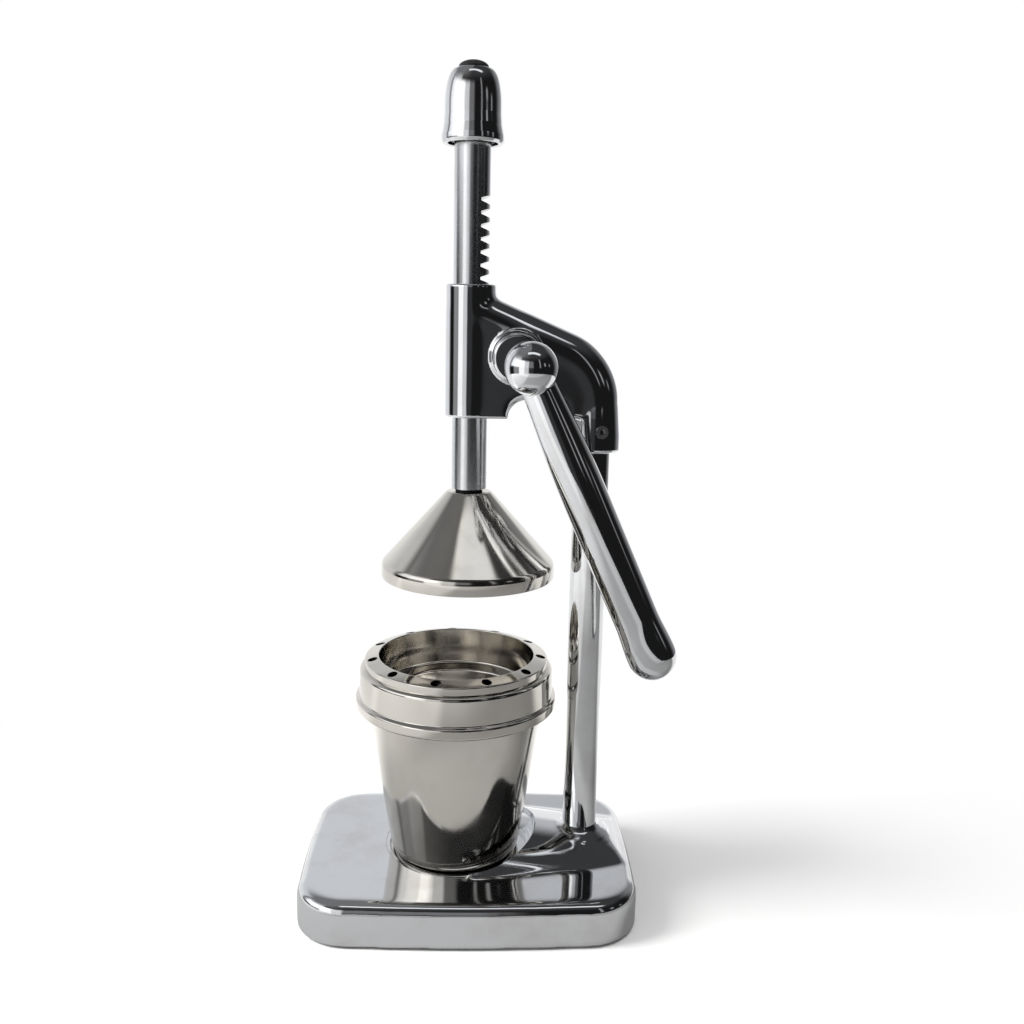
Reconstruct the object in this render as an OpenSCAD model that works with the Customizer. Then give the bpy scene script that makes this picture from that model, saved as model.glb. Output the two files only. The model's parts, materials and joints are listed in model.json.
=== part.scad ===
// Lever citrus press: a rack-and-pinion press on a column, over a cup with a strainer bowl.
// Millimetres, +Z up. The press line runs along X, from the cup to the column.

/* [Base] */
// Length of the base along the press line
base_l = 178; // [165:1:200]
// Width of the base
base_w = 130; // [120:1:150]
// Height of the casting from its rim to its flat top
base_h = 22.6; // [20:0.2:26]
// Rounding of the top edge
base_edge = 6; // [4:0.5:7]
// Corner radius in plan
base_corner = 24; // [24:4:28]
// How far the long sides bow outwards
base_bow_l = 4; // [2:0.5:6]
// How far the short sides bow outwards
base_bow_w = 2.5; // [1:0.5:4]
// Wall and roof of the hollow casting
base_wall = 5; // [4:0.5:5.5]
// Middle of the base, beyond the press axis towards the column
base_ahead = 2; // [0:0.5:5]
// Distance of the press line behind the middle of the base
press_back = 3; // [0:0.5:6]
// Depth of the round seat for the cup
seat_depth = 1.5; // [1:0.25:2.5]
// Distance of the seat's middle from the press axis, away from the column
seat_off = 3; // [0:0.5:4]
// Play round the cup's foot in its seat
seat_play = 3.6; // [3:0.2:5]
// Flat ring between the seat and the hump
seat_lip = 2.6; // [2:0.2:4]
// Radius of the hump's back
hump_r = 66; // [60:1:75]
// Height of the hump's crest above the base at the column
hump_rise = 8.2; // [6:0.2:10]
// Fall of the crest towards the end of the base, degrees
hump_fall = 8; // [6:0.5:9]
// Radius of the flare at the column's foot
flare_r = 6; // [4:0.5:8]

/* [Feet] */
// Diameter of a rubber foot
foot_d = 18; // [14:1:20]
// Height of a rubber foot
foot_h = 4; // [3:0.5:5]
// Gap between the table and the rim of the casting
foot_gap = 1.2; // [0.6:0.2:2]
// Distance of the feet from the ends and sides of the base
foot_inset = 21; // [20:1:26]
// Thickness of the plate that closes the base
plate_t = 1.5; // [1:0.25:2]
// Diameter of the screws through the feet
foot_screw_d = 4; // [3:0.5:5]
// Length of the screws through the feet
foot_screw_l = 12; // [10:0.5:13]

/* [Column] */
// Diameter of the column
column_d = 18.5; // [16:0.5:20]
// Distance from the press axis to the column
column_x = 63.5; // [62:0.5:70]
// Depth of the column's socket in the base, below the hump's crest
socket_depth = 14; // [12:0.5:15]
// Thickness of the socket's floor
socket_floor = 3; // [2:0.5:4]
// Diameter of the bolt that holds the column
bolt_d = 8; // [6:1:10]
// Length of that bolt below its head
bolt_l = 26; // [20:1:40]

/* [Cup] */
// Outside diameter of the cup at its foot
cup_foot_d = 69; // [64:1:72]
// Outside diameter of the cup at its top
cup_top_d = 93.6; // [90:0.4:96]
// Height of the cup
cup_h = 103.5; // [95:0.5:110]
// Height of the straight part inside the collar
cup_straight = 23; // [20:1:28]
// Thickness of the cup's sheet
cup_t = 1.2; // [0.8:0.1:1.6]
// Radius of the cup's bottom edge
cup_round = 5; // [3:0.5:7]
// Distance of the cup from the middle of its seat, within its play
cup_shift = 2.6; // [0:0.2:2.6]

/* [Strainer] */
// Gap between the cup and the collar's wall
ring_gap = 3.5; // [3:0.1:5]
// Thickness of the collar's sheet
ring_t = 1.2; // [0.8:0.1:1.6]
// Height of the collar's wall down to its bead
ring_h = 15; // [12:0.5:18]
// Height of the rolled bead
bead_h = 7; // [5:0.5:9]
// How far the bead stands out
bead_out = 1.9; // [1:0.1:3]
// How far the bowl's rim reaches beyond the cup's wall
rim_over = 2; // [1.5:0.1:2.2]
// How far the bowl's mouth is drawn in from the cup's wall
mouth_in = 5.4; // [5:0.1:7]
// Height of the rim's turned-down lip
rim_lip = 4.3; // [3:0.1:6]
// Rise of the rim from its outside to the mouth
rim_rise = 1.9; // [1:0.1:3]
// Thickness of the bowl's sheet
bowl_t = 1; // [0.8:0.1:1.4]
// Depth of the bowl down to its ledge
ledge_depth = 20; // [14:0.5:24]
// Depth of the bowl down to its floor
bowl_depth = 35; // [30:1:45]
// How far the bowl's floor is drawn in from its mouth
floor_in = 10.4; // [10:0.2:14]
// Number of vents in the rim
vents = 11; // [8:1:14]
// Diameter of a vent
vent_d = 4.6; // [3:0.2:5]
// Number of drain holes in the floor
drains = 12; // [8:1:16]
// Diameter of a drain hole
drain_d = 5; // [3:0.5:6]

/* [Cone] */
// How far the cone's edge reaches beyond the bowl's mouth
cone_over = 3.9; // [2:0.1:5]
// Slope of the cone's side from the vertical, degrees
cone_slope = 42; // [38:1:46]
// Radius of the flat at the cone's top
cone_flat_r = 10; // [9:0.5:12]
// Rounding between the flat and the side
cone_shoulder = 3; // [2:0.5:4]
// Rounding above the cone's lower band
cone_edge = 5; // [3:0.5:7]
// Height of the cone's lower band
cone_band = 5.5; // [3:0.5:7]
// Thickness of the cone's sheet
cone_t = 1.5; // [1:0.1:2]
// Gap between the cone and the bowl's mouth at rest
rest_gap = 43.4; // [38:0.2:50]

/* [Rod and rack] */
// Diameter of the press rod
rod_d = 18; // [16:0.5:20]
// Length of the press rod
rod_l = 186; // [180:1:200]
// Bare rod between the cone and the head at rest
rod_bare = 37.2; // [30:0.2:45]
// Module of the rack and the pinion
gear_m = 2; // [1.75:0.25:2]
// Teeth of the pinion
pinion_n = 16; // [15:1:17]
// Width of the pinion
pinion_w = 8; // [6:0.5:8]
// Gaps of the rack above the pinion's axis
rack_up = 12; // [10:1:13]
// Gaps of the rack below the pinion's axis
rack_down = 3; // [2:1:3]
// Extra distance between the rack and the pinion
mesh_gap = 0.15; // [0.1:0.05:0.3]
// Play between the teeth at the pitch line
backlash = 0.15; // [0.1:0.05:0.3]
// Gap round the pinion in its pocket
pocket_gap = 0.4; // [0.3:0.05:0.5]
// Running clearance of the rod and the shaft, on the radius
run_gap = 0.05; // [0.02:0.01:0.08]

/* [Head] */
// Height of the rod guide
guide_h = 66.2; // [64:0.1:70]
// Outside diameter of the rod guide
guide_d = 25.4; // [25:0.2:28]
// Outside diameter of the sleeve on the column
sleeve_d = 28; // [26:0.5:32]
// How far the sleeve reaches below the rod guide
sleeve_drop = 16.8; // [14:0.1:20]
// Length of the column held in the sleeve
sleeve_grip = 37; // [30:1:38]
// Diameter of the arm's round back
arm_d = 25; // [24:0.2:25]
// Fall of the arm's back towards the column, degrees
arm_fall = 23; // [20:1:25]
// Radius of the arm's bend, at the middle of its back
bend_r = 25; // [22:0.5:28]
// Thickness of the web under the arm's back
web_t = 22; // [19:0.5:23]
// Height of the pinion's axis above the bottom of the guide
pivot_up = 31.3; // [30.5:0.1:31.5]
// Height of the arch above the bottom of the guide
arch_up = 9.3; // [7:0.1:10]
// Corner radius of the arch
arch_r = 10; // [8:0.5:12]
// Diameter of the clamp screw in the sleeve
clamp_d = 6.6; // [5:0.2:8]
// Height of the clamp screw above the sleeve's bottom
clamp_up = 11; // [10:0.5:16]
// Turn of the clamp screw about the column, from the front towards the end of the base, degrees
clamp_turn = 14; // [0:1:30]

/* [Shaft] */
// Diameter of the pinion shaft
shaft_d = 10; // [8:0.5:11]
// Wall of the shaft's bushes
bush_wall = 2.5; // [2:0.25:3]
// Diameter of the front boss on the head
boss_d = 26.6; // [24:0.2:28]
// How far the bosses stand out from the web
boss_out = 3; // [2.5:0.5:5]
// Diameter of the front bush's flange
flange_d = 24.8; // [22:0.2:26]
// Thickness of the bushes' flanges
flange_t = 2; // [1.5:0.25:3]
// Diameter of the rear boss on the head
rear_boss_d = 20; // [18:0.5:24]
// Side of the square key in the pinion
key_w = 3; // [2:0.5:3]
// End play of the shaft at each side
end_play = 0.3; // [0.2:0.05:0.5]

/* [Lever] */
// Diameter of the lever's hub
hub_d = 24; // [22:0.5:25]
// Length of the hub's cylinder
hub_l = 17; // [14:0.5:18]
// Diameter of the ball at the head of the lever
ball_d = 25.6; // [24:0.2:28]
// Distance of the ball's middle in front of the hub's end
ball_ahead = 9; // [7:0.5:10]
// Offset of the ball from the shaft, towards the column
ball_x = 6; // [0:0.5:6.5]
// Drop of the ball below the shaft
ball_drop = 4; // [0:0.5:6]
// Hang of the lever from the vertical, degrees
lever_hang = 24.2; // [20:0.2:28]
// Length of the lever from the ball to the middle of its round end
lever_l = 158; // [145:1:175]
// Diameter of the handle at the hub
handle_top_d = 17.6; // [16:0.2:19]
// Diameter of the handle at its middle
handle_d = 22.8; // [20:0.2:24]
// Diameter of the handle's round end
handle_end_d = 25.4; // [24:0.2:28]
// Diameter of the handle's spigot in the hub
spigot_d = 11; // [8:0.5:12]
// Diameter of the set screw in the hub
set_screw_d = 5; // [4:0.5:6]

/* [Cap] */
// Diameter of the cap's lip
cap_d = 30.8; // [28:0.2:34]
// Diameter of the cap above its lip
cap_waist_d = 27.9; // [26:0.1:29]
// Diameter of the seam under the cap's plug
plug_d = 15; // [13:0.5:17]
// Height of the cap to that seam
cap_h = 35.3; // [32:0.1:40]
// Height of the plug's dome
plug_h = 3.5; // [2:0.5:5]
// How far the cap reaches down over the rod
cap_grip = 16; // [14:0.5:18]
// Depth of the hollow under the cap
cap_hollow = 5; // [3:0.5:7]
// Diameter of the screws in the ends of the rod
end_screw_d = 6; // [5:0.5:8]

/* [Hidden] */
$fn = 96;

chrome = "silver";
stainless = "lightslategray";
zinc = "darkgray";
bronze = "goldenrod";
dark = "dimgray";
over = 0.5;

base_top = foot_gap + base_h;
base_roof = base_top - seat_depth - base_wall;
plate_low = foot_h;
plate_high = plate_low + plate_t;
slice_t = 0.02;
edge_steps = 6;
foot_at = [for (sx = [-1, 1], sy = [-1, 1]) [sx * (base_l / 2 - foot_inset), sy * (base_w / 2 - foot_inset)]];
foot_head_h = foot_h / 2.5;
foot_head_low = 1.2;
foot_shaft_low = foot_head_low + foot_head_h;
foot_boss_r = foot_screw_d / 2 + 4;

seat_z = base_top - seat_depth;
seat_r = cup_foot_d / 2 + seat_play;
hump_in = seat_r + seat_lip;
crest_z = base_top + hump_rise;
hump_end_r = 22;
hump_end_x = base_ahead + base_l / 2 - hump_end_r;

column_r = column_d / 2;
column_low = crest_z - socket_depth;
bolt_head_h = bolt_d * 0.65;
washer_t = 1.5;
socket_boss_low = column_low - socket_floor;
socket_boss_r = column_r + 5;
bolt_play = 0.4;

cup_off = seat_off + cup_shift;
cup_top = seat_z + cup_h;
cup_foot_r = cup_foot_d / 2;
cup_top_r = cup_top_d / 2;

ring_top = cup_top + ring_t;
ring_r = cup_top_r + ring_gap + ring_t;
ring_in_r = cup_top_r - 3;
rim_r = cup_top_r + rim_over;
mouth_r = cup_top_r - mouth_in;
floor_r = mouth_r - floor_in;
rim_z = ring_top + rim_lip;
mouth_z = rim_z + rim_rise;
ledge_z = mouth_z - ledge_depth;
floor_z = mouth_z - bowl_depth;
ledge_out_r = mouth_r - 1.5;
ledge_in_r = floor_r + 2.5;
vent_ring_r = (mouth_r + rim_r) / 2;
drain_ring_r = floor_r - 8;

cone_r = mouth_r + cone_over;
cone_low = mouth_z + rest_gap;
cone_edge_c = [cone_r - cone_edge, cone_band];
cone_run = (cone_edge_c[0] + cone_edge * cos(cone_slope)) - (cone_flat_r + cone_shoulder * cos(cone_slope));
cone_climb = cone_run / tan(cone_slope);
cone_h = cone_band + cone_edge * sin(cone_slope) + cone_climb + cone_shoulder * (1 - sin(cone_slope));
cone_top = cone_low + cone_h;

rod_r = rod_d / 2;
rod_low = cone_top + washer_t;
rod_high = rod_low + rod_l;
end_screw_r = end_screw_d / 2;
end_head_r = end_screw_d * 0.85;
end_head_h = end_screw_d * 0.6;
end_thread = 14;

guide_low = rod_low + rod_bare;
guide_high = guide_low + guide_h;
guide_r = guide_d / 2;
pitch_r = gear_m * pinion_n / 2;
tip_r = pitch_r + gear_m;
root_r = pitch_r - 1.25 * gear_m;
rack_pitch = PI * gear_m;
rack_line = rod_r - gear_m;
pressure = 20;
pivot_x = rack_line + pitch_r + mesh_gap;
pivot_z = guide_low + pivot_up;
pocket_r = tip_r + pocket_gap;
pocket_w = pinion_w + 2 * pocket_gap;
pocket_left = guide_r + 0.3;
pocket_right = pivot_x + pocket_r;

sleeve_r = sleeve_d / 2;
sleeve_low = guide_low - sleeve_drop;
column_high = sleeve_low + sleeve_grip;
arm_r = arm_d / 2;
bend_x = column_x - bend_r;
bend_end = [bend_x + bend_r * sin(arm_fall), bend_r * cos(arm_fall)];
arm_top_drop = 14.7;
arm_start_z = guide_high - arm_top_drop;
bend_z = arm_start_z - bend_end[0] * tan(arm_fall) - bend_end[1];
arm_l = bend_end[0] / cos(arm_fall);
arch_left = guide_r + 6.3;
arch_right = column_x - sleeve_r;
arch_z = guide_low + arch_up;
arch_out_r = 8;
clamp_r = clamp_d / 2;
clamp_z = sleeve_low + clamp_up;
clamp_bite = 2;

shaft_r = shaft_d / 2;
bush_r = shaft_r + run_gap + bush_wall;
boss_y = web_t / 2 + boss_out;
hub_back = boss_y + flange_t + end_play;
hub_front = hub_back + hub_l;
ball_y = hub_front + ball_ahead;
ball_r = ball_d / 2;
hub_r = hub_d / 2;
rear_face = boss_y + flange_t + end_play;
nut_h = 8;
nut_r = shaft_r * 1.7;
shaft_rear = rear_face + washer_t + nut_h - 2;
key_l = pinion_w - 1;
set_screw_l = hub_r - shaft_r - 0.5;
set_screw_y = hub_back + set_screw_d;

lever_y = hub_front - 1;
ball_at = [pivot_x + ball_x, -ball_y, pivot_z - ball_drop];
lever_at = [pivot_x + ball_x, -lever_y, pivot_z - ball_drop];
handle_swell = 0.42 * lever_l;
handle_neck = 12;
handle_end_r = handle_end_d / 2;
bulb_run = 22;
spigot_r = spigot_d / 2;
spigot_up = 3;
spigot_down = 15;
shaft_front = lever_y - spigot_r - end_play;

cap_low = rod_high - cap_grip;
cap_seam = cap_low + cap_h;
cap_r = cap_d / 2;
cap_waist_r = cap_waist_d / 2;
cap_lip_h = 5;
plug_r = plug_d / 2;
plug_stem_r = plug_r - 1.5;
plug_stem_h = 5;
cap_wall = 2;

// The box of the whole press is centred on the origin
lever_end_x = lever_at[0] + lever_l * sin(lever_hang) + handle_end_r;
base_left_x = base_ahead - base_l / 2;
press_x = -(lever_end_x + base_left_x) / 2;
press_y = press_back;

// Points of an arc about [x, y], from angle a to angle b
function arc(x, y, r, a, b, n = 12) =
    [for (i = [0:n]) let (t = a + (b - a) * i / n) [x + r * cos(t), y + r * sin(t)]];

// Involute angle at radius r over a base circle rb
function involute(r, rb) = let (t = sqrt(max(0, pow(r / rb, 2) - 1))) t * 180 / PI - atan(t);

// Half of a tooth's angle at radius r
function half_tooth(r, rb) =
    90 / pinion_n - backlash / (2 * pitch_r) * 180 / PI + involute(pitch_r, rb) - involute(r, rb);

// Radius of a circle whose arc over the chord l rises by s
function bow_r(l, s) = (l * l / 4 + s * s) / (2 * s);

// A sub-part in its colour, moved from the press axis to the frame
module part(c) color(c) translate([press_x, press_y, 0]) children();

// A solid of revolution about an axis along -Y, seen from the front
module towards_front(x, z) translate([x, 0, z]) rotate([90, 0, 0]) children();

// A rod along Y from y0 to y1
module cross_rod(x, z, r, y0, y1) translate([x, y1, z]) rotate([90, 0, 0]) cylinder(r = r, h = y1 - y0);

// A rod on the clamp screw's line, between two distances behind the column's axis
module clamp_rod(r, y0, y1) translate([column_x, 0, clamp_z]) rotate(clamp_turn) cross_rod(0, 0, r, y0, y1);

// A profile in X and Z, as thick as t, in the middle plane
module plate_xz(t) translate([0, t / 2, 0]) rotate([90, 0, 0]) linear_extrude(t) children();

// Plan of the base about its own middle, with bowed sides
module base_plan() {
    r_l = bow_r(base_l, base_bow_l);
    r_w = bow_r(base_w, base_bow_w);
    offset(base_corner, $fn = 64) offset(delta = -base_corner) intersection() {
        for_sides(r_l, base_w / 2, 90);
        for_sides(r_w, base_l / 2, 0);
    }
}

// Overlap of two large circles that bow the sides at +d and -d
module for_sides(r, d, turn) {
    rotate(turn) intersection() {
        translate([d - r, 0]) circle(r, $fn = 360);
        translate([r - d, 0]) circle(r, $fn = 360);
    }
}

// The base's block with its rounded top edge
module base_block() {
    hull() {
        for (i = [0:edge_steps]) {
            a = 90 * i / edge_steps;
            translate([0, 0, base_top - base_edge * (1 - sin(a)) - slice_t])
                linear_extrude(slice_t) offset(delta = -base_edge * (1 - cos(a))) base_plan();
        }
        translate([0, 0, foot_gap]) linear_extrude(slice_t) base_plan();
    }
}

// The hump that carries the column: a sloping round back, rounded off at its end
module hump() {
    difference() {
        intersection() {
            translate([column_x, 0, crest_z - hump_r / cos(hump_fall)]) rotate([0, 90 + hump_fall, 0])
                cylinder(r = hump_r, h = 2 * base_l, center = true, $fn = 180);
            plate_xz(base_w - 4 * base_edge) union() {
                translate([0, base_roof]) square([hump_end_x, base_l]);
                translate([hump_end_x, base_top + hump_rise - hump_end_r]) circle(hump_end_r);
            }
            translate([0, 0, base_roof]) cylinder(r = base_l, h = base_l);
        }
        translate([-seat_off, 0, seat_z]) cylinder(r = hump_in, h = base_l);
    }
}

// Concave flare at the column's foot
module column_flare() {
    translate([column_x, 0, crest_z - base_wall]) rotate_extrude() polygon(concat(
        [[0, 0], [column_r + flare_r, 0]],
        arc(column_r + flare_r, base_wall + flare_r, flare_r, 270, 180),
        [[0, base_wall + flare_r]]
    ));
}

module base_casting() part(chrome) difference() {
    union() {
        difference() {
            translate([base_ahead, -press_back, 0]) base_block();
            translate([base_ahead, -press_back, -base_h])
                linear_extrude(base_h + base_roof) offset(delta = -base_wall) base_plan();
        }
        hump();
        column_flare();
        translate([column_x, 0, socket_boss_low])
            cylinder(r = socket_boss_r, h = base_top - socket_boss_low);
        for (p = foot_at)
            translate([p[0] + base_ahead, p[1] - press_back, plate_high])
                cylinder(r = foot_boss_r, h = base_roof - plate_high + over);
    }
    translate([-seat_off, 0, seat_z]) cylinder(r = seat_r, h = base_h);
    translate([column_x, 0, column_low]) cylinder(r = column_r, h = base_l);
    translate([column_x, 0, 0]) cylinder(r = bolt_d / 2 + bolt_play, h = base_l);
    for (p = foot_at)
        translate([p[0] + base_ahead, p[1] - press_back, foot_gap])
            cylinder(r = foot_screw_d / 2, h = foot_shaft_low + foot_screw_l - foot_gap);
}

module base_plate() part(zinc) translate([base_ahead, -press_back, plate_low]) difference() {
    linear_extrude(plate_t) offset(delta = -base_wall - end_play) base_plan();
    for (p = foot_at)
        translate([p[0], p[1], -over]) cylinder(r = foot_screw_d / 2 + bolt_play, h = plate_t + 2 * over);
}

module rubber_feet() part(dark) translate([base_ahead, -press_back, 0]) for (p = foot_at)
    translate([p[0], p[1], 0]) difference() {
        cylinder(r = foot_d / 2, h = foot_h);
        translate([0, 0, -over]) cylinder(r = foot_screw_d / 2 + bolt_play, h = foot_h + 2 * over);
        translate([0, 0, -over]) cylinder(r = foot_screw_d, h = foot_shaft_low + over);
    }

module foot_screws() part(zinc) translate([base_ahead, -press_back, 0]) for (p = foot_at)
    translate([p[0], p[1], foot_head_low]) {
        cylinder(r = foot_screw_d - bolt_play, h = foot_head_h);
        cylinder(r = foot_screw_d / 2, h = foot_head_h + foot_screw_l);
    }

module column() part(chrome) difference() {
    translate([column_x, 0, column_low]) cylinder(r = column_r, h = column_high - column_low);
    translate([column_x, 0, column_low - over])
        cylinder(r = bolt_d / 2, h = bolt_l - washer_t - socket_floor + over);
    clamp_rod(clamp_r, -column_d, clamp_bite - column_r);
}

module column_bolt() part(zinc) translate([column_x, 0, socket_boss_low - washer_t]) {
    cylinder(r = bolt_d / 2, h = bolt_l);
    translate([0, 0, -bolt_head_h]) cylinder(r = bolt_d * 0.92, h = bolt_head_h, $fn = 6);
}

module column_washer() part(zinc) translate([column_x, 0, socket_boss_low - washer_t]) difference() {
    cylinder(r = bolt_d * 1.2, h = washer_t);
    translate([0, 0, -over]) cylinder(r = bolt_d / 2 + bolt_play, h = washer_t + 2 * over);
}

// Side view of the web between the rod guide, the arm's back and the sleeve
module web_profile() polygon(concat(
    [[0, guide_low]],
    arc(arch_left + arch_r, arch_z - arch_r, arch_r, 180 - asin(max(0, 1 - arch_up / arch_r)), 90),
    arc(arch_right - arch_out_r, arch_z - arch_out_r, arch_out_r, 90, 0),
    [[column_x, arch_z - arch_out_r]],
    arc(bend_x, bend_z, bend_r, 0, 90 - arm_fall),
    [[0, arm_start_z]]
));

// Round back of the arm: a straight run and a bend down onto the column
module arm_back() {
    translate([0, 0, arm_start_z]) rotate([0, 90 + arm_fall, 0]) cylinder(r = arm_r, h = arm_l);
    translate([bend_x, 0, bend_z]) rotate([90, 0, 0]) rotate_extrude(angle = 90 - arm_fall)
        translate([bend_r, 0]) circle(arm_r);
}

module head_casting() part(chrome) difference() {
    union() {
        translate([0, 0, guide_low]) cylinder(r = guide_r, h = guide_h);
        translate([column_x, 0, sleeve_low]) cylinder(r = sleeve_r, h = bend_z - sleeve_low);
        arm_back();
        plate_xz(web_t) web_profile();
        cross_rod(pivot_x, pivot_z, boss_d / 2, -boss_y, 0);
        cross_rod(pivot_x, pivot_z, rear_boss_d / 2, 0, boss_y);
    }
    translate([0, 0, guide_low - over]) cylinder(r = rod_r + run_gap, h = guide_h + 2 * over);
    translate([column_x, 0, sleeve_low - over]) cylinder(r = column_r, h = sleeve_grip + over);
    cross_rod(pivot_x, pivot_z, pocket_r, -pocket_w / 2, pocket_w / 2);
    translate([pocket_left, -pocket_w / 2, sleeve_low])
        cube([pocket_right - pocket_left, pocket_w, pivot_z - sleeve_low]);
    cross_rod(pivot_x, pivot_z, bush_r, -boss_y - over, boss_y + over);
    clamp_rod(clamp_r, -sleeve_d, 0);
}

module clamp_screw() part(zinc) difference() {
    clamp_rod(clamp_r, -sleeve_r - 0.4, clamp_bite - column_r);
    clamp_rod(clamp_r * 0.45, -sleeve_d, -sleeve_r + 1.2);
}

// A bush along -Y from the pocket's wall to the boss, with a flange on the boss
module bush(flange_r) difference() {
    union() {
        translate([0, 0, pocket_w / 2]) cylinder(r = bush_r, h = boss_y - pocket_w / 2);
        translate([0, 0, boss_y]) cylinder(r = flange_r, h = flange_t);
    }
    cylinder(r = shaft_r + run_gap, h = boss_y + flange_t + over);
}

module front_bush() part(bronze) towards_front(pivot_x, pivot_z) bush(flange_d / 2);

module rear_bush() part(bronze) translate([pivot_x, 0, pivot_z]) rotate([-90, 0, 0])
    bush(rear_boss_d / 2 - 1);

// One gap of the rack, cut along Y
module rack_gap() {
    half = rack_pitch / 4;
    deep = 1.25 * gear_m;
    out = 2 * gear_m;
    plate_xz(2 * rod_d) polygon([
        [rack_line - deep, -half + deep * tan(pressure)],
        [rack_line + out, -half - out * tan(pressure)],
        [rack_line + out, half + out * tan(pressure)],
        [rack_line - deep, half - deep * tan(pressure)]
    ]);
}

module rack_rod() part(chrome) difference() {
    translate([0, 0, rod_low]) cylinder(r = rod_r, h = rod_l);
    for (k = [-rack_down:rack_up]) translate([0, 0, pivot_z + k * rack_pitch]) rack_gap();
    translate([0, 0, rod_low - over]) cylinder(r = end_screw_r, h = end_thread + over);
    translate([0, 0, rod_high - end_thread]) cylinder(r = end_screw_r, h = end_thread + over);
}

// Outside of the cap: a flared lip, a waist and a round crown up to the seam
module top_cap() part(chrome) difference() {
    translate([0, 0, cap_low]) rotate_extrude() polygon(concat(
        [[0, 0]],
        arc(cap_r - 1.5, 1.5, 1.5, 270, 360, 6),
        [[cap_r, cap_lip_h - 1]],
        [[cap_waist_r + 0.6, cap_lip_h + 3.5]],
        [[cap_waist_r + 0.1, cap_lip_h + 8]],
        [for (i = [0:10]) let (t = i / 10, z = cap_lip_h + 12)
            [plug_r + (cap_waist_r - plug_r) * sqrt(1 - pow(t, 2.4)), z + (cap_h - z) * t]],
        [[0, cap_h]]
    ));
    translate([0, 0, cap_low - over]) cylinder(r = cap_r - cap_wall - 1, h = cap_hollow + over);
    translate([0, 0, cap_low - over]) cylinder(r = rod_r, h = cap_grip + over);
    translate([0, 0, cap_low]) cylinder(r = end_screw_r, h = cap_h + over);
    translate([0, 0, cap_seam - plug_stem_h - end_head_h])
        cylinder(r = plug_stem_r, h = cap_h);
}

module cap_screw() part(zinc) difference() {
    union() {
        translate([0, 0, rod_high - end_thread])
            cylinder(r = end_screw_r, h = cap_seam - plug_stem_h - rod_high + end_thread);
        translate([0, 0, cap_seam - plug_stem_h - end_head_h]) cylinder(r = end_head_r, h = end_head_h);
    }
    translate([0, 0, cap_seam - plug_stem_h - end_head_h / 2])
        cylinder(r = end_screw_r / 2, h = end_head_h, $fn = 6);
}

module cap_plug() part(dark) translate([0, 0, cap_seam]) {
    translate([0, 0, -plug_stem_h]) cylinder(r = plug_stem_r, h = plug_stem_h);
    dome_r = bow_r(2 * plug_r, plug_h);
    intersection() {
        translate([0, 0, plug_h - dome_r]) sphere(dome_r);
        cylinder(r = plug_r, h = plug_h + over);
    }
}

// Side of the cone from its lower edge to its top, drawn in by t
function cone_side(t) = concat(
    [[cone_r - t, 0]],
    arc(cone_edge_c[0], cone_edge_c[1], cone_edge - t, 0, cone_slope),
    arc(cone_flat_r, cone_h - cone_shoulder, cone_shoulder - t, cone_slope, 90)
);

module press_cone() part(stainless) translate([0, 0, cone_low]) difference() {
    rotate_extrude() polygon(concat([[0, 0]], cone_side(0), [[0, cone_h]]));
    translate([0, 0, -slice_t]) rotate_extrude()
        polygon(concat([[0, 0]], cone_side(cone_t), [[0, cone_h - cone_t]]));
    cylinder(r = end_screw_r, h = cone_h + over);
}

module cone_washer() part(dark) translate([0, 0, cone_top]) difference() {
    cylinder(r = rod_r - 2, h = washer_t);
    translate([0, 0, -over]) cylinder(r = end_screw_r, h = washer_t + 2 * over);
}

module cone_screw() part(zinc) difference() {
    union() {
        translate([0, 0, cone_top - cone_t - slice_t - end_head_h]) cylinder(r = end_head_r, h = end_head_h);
        translate([0, 0, cone_top - cone_t - slice_t - end_head_h])
            cylinder(r = end_screw_r, h = end_head_h + cone_t + slice_t + washer_t + end_thread);
    }
    translate([0, 0, cone_top - cone_t - 1.5 * end_head_h])
        cylinder(r = end_screw_r / 2, h = end_head_h, $fn = 6);
}

// Outline of the pinion, with a tooth pointing at the rack
module pinion_outline() {
    rb = pitch_r * cos(pressure);
    steps = 6;
    low = max(rb, root_r);
    radii = concat([root_r], [for (i = [0:steps]) low + (tip_r - low) * i / steps]);
    polygon([for (k = [0:pinion_n - 1], side = [-1, 1], i = [0:steps + 1])
        let (r = radii[side < 0 ? i : steps + 1 - i])
        let (a = 180 + k * 360 / pinion_n + side * half_tooth(max(r, low), rb))
        r * [cos(a), sin(a)]]);
}

module pinion() part(zinc) towards_front(pivot_x, pivot_z) translate([0, 0, -pinion_w / 2])
    difference() {
        linear_extrude(pinion_w) pinion_outline();
        translate([0, 0, -over]) cylinder(r = shaft_r, h = pinion_w + 2 * over);
        translate([-key_w / 2, 0, -over]) cube([key_w, shaft_r + key_w / 2, pinion_w + 2 * over]);
    }

module pinion_shaft() part(zinc) difference() {
    cross_rod(pivot_x, pivot_z, shaft_r, -shaft_front, shaft_rear);
    translate([pivot_x - key_w / 2, -key_l / 2, pivot_z + shaft_r - key_w / 2]) cube([key_w, key_l, key_w]);
}

module shaft_key() part(zinc)
    translate([pivot_x - key_w / 2, -key_l / 2, pivot_z + shaft_r - key_w / 2]) cube([key_w, key_l, key_w]);

module shaft_washer() part(zinc) difference() {
    cross_rod(pivot_x, pivot_z, rear_boss_d / 2 - 1.5, rear_face, rear_face + washer_t);
    cross_rod(pivot_x, pivot_z, shaft_r, 0, rear_face + 2 * washer_t);
}

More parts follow.
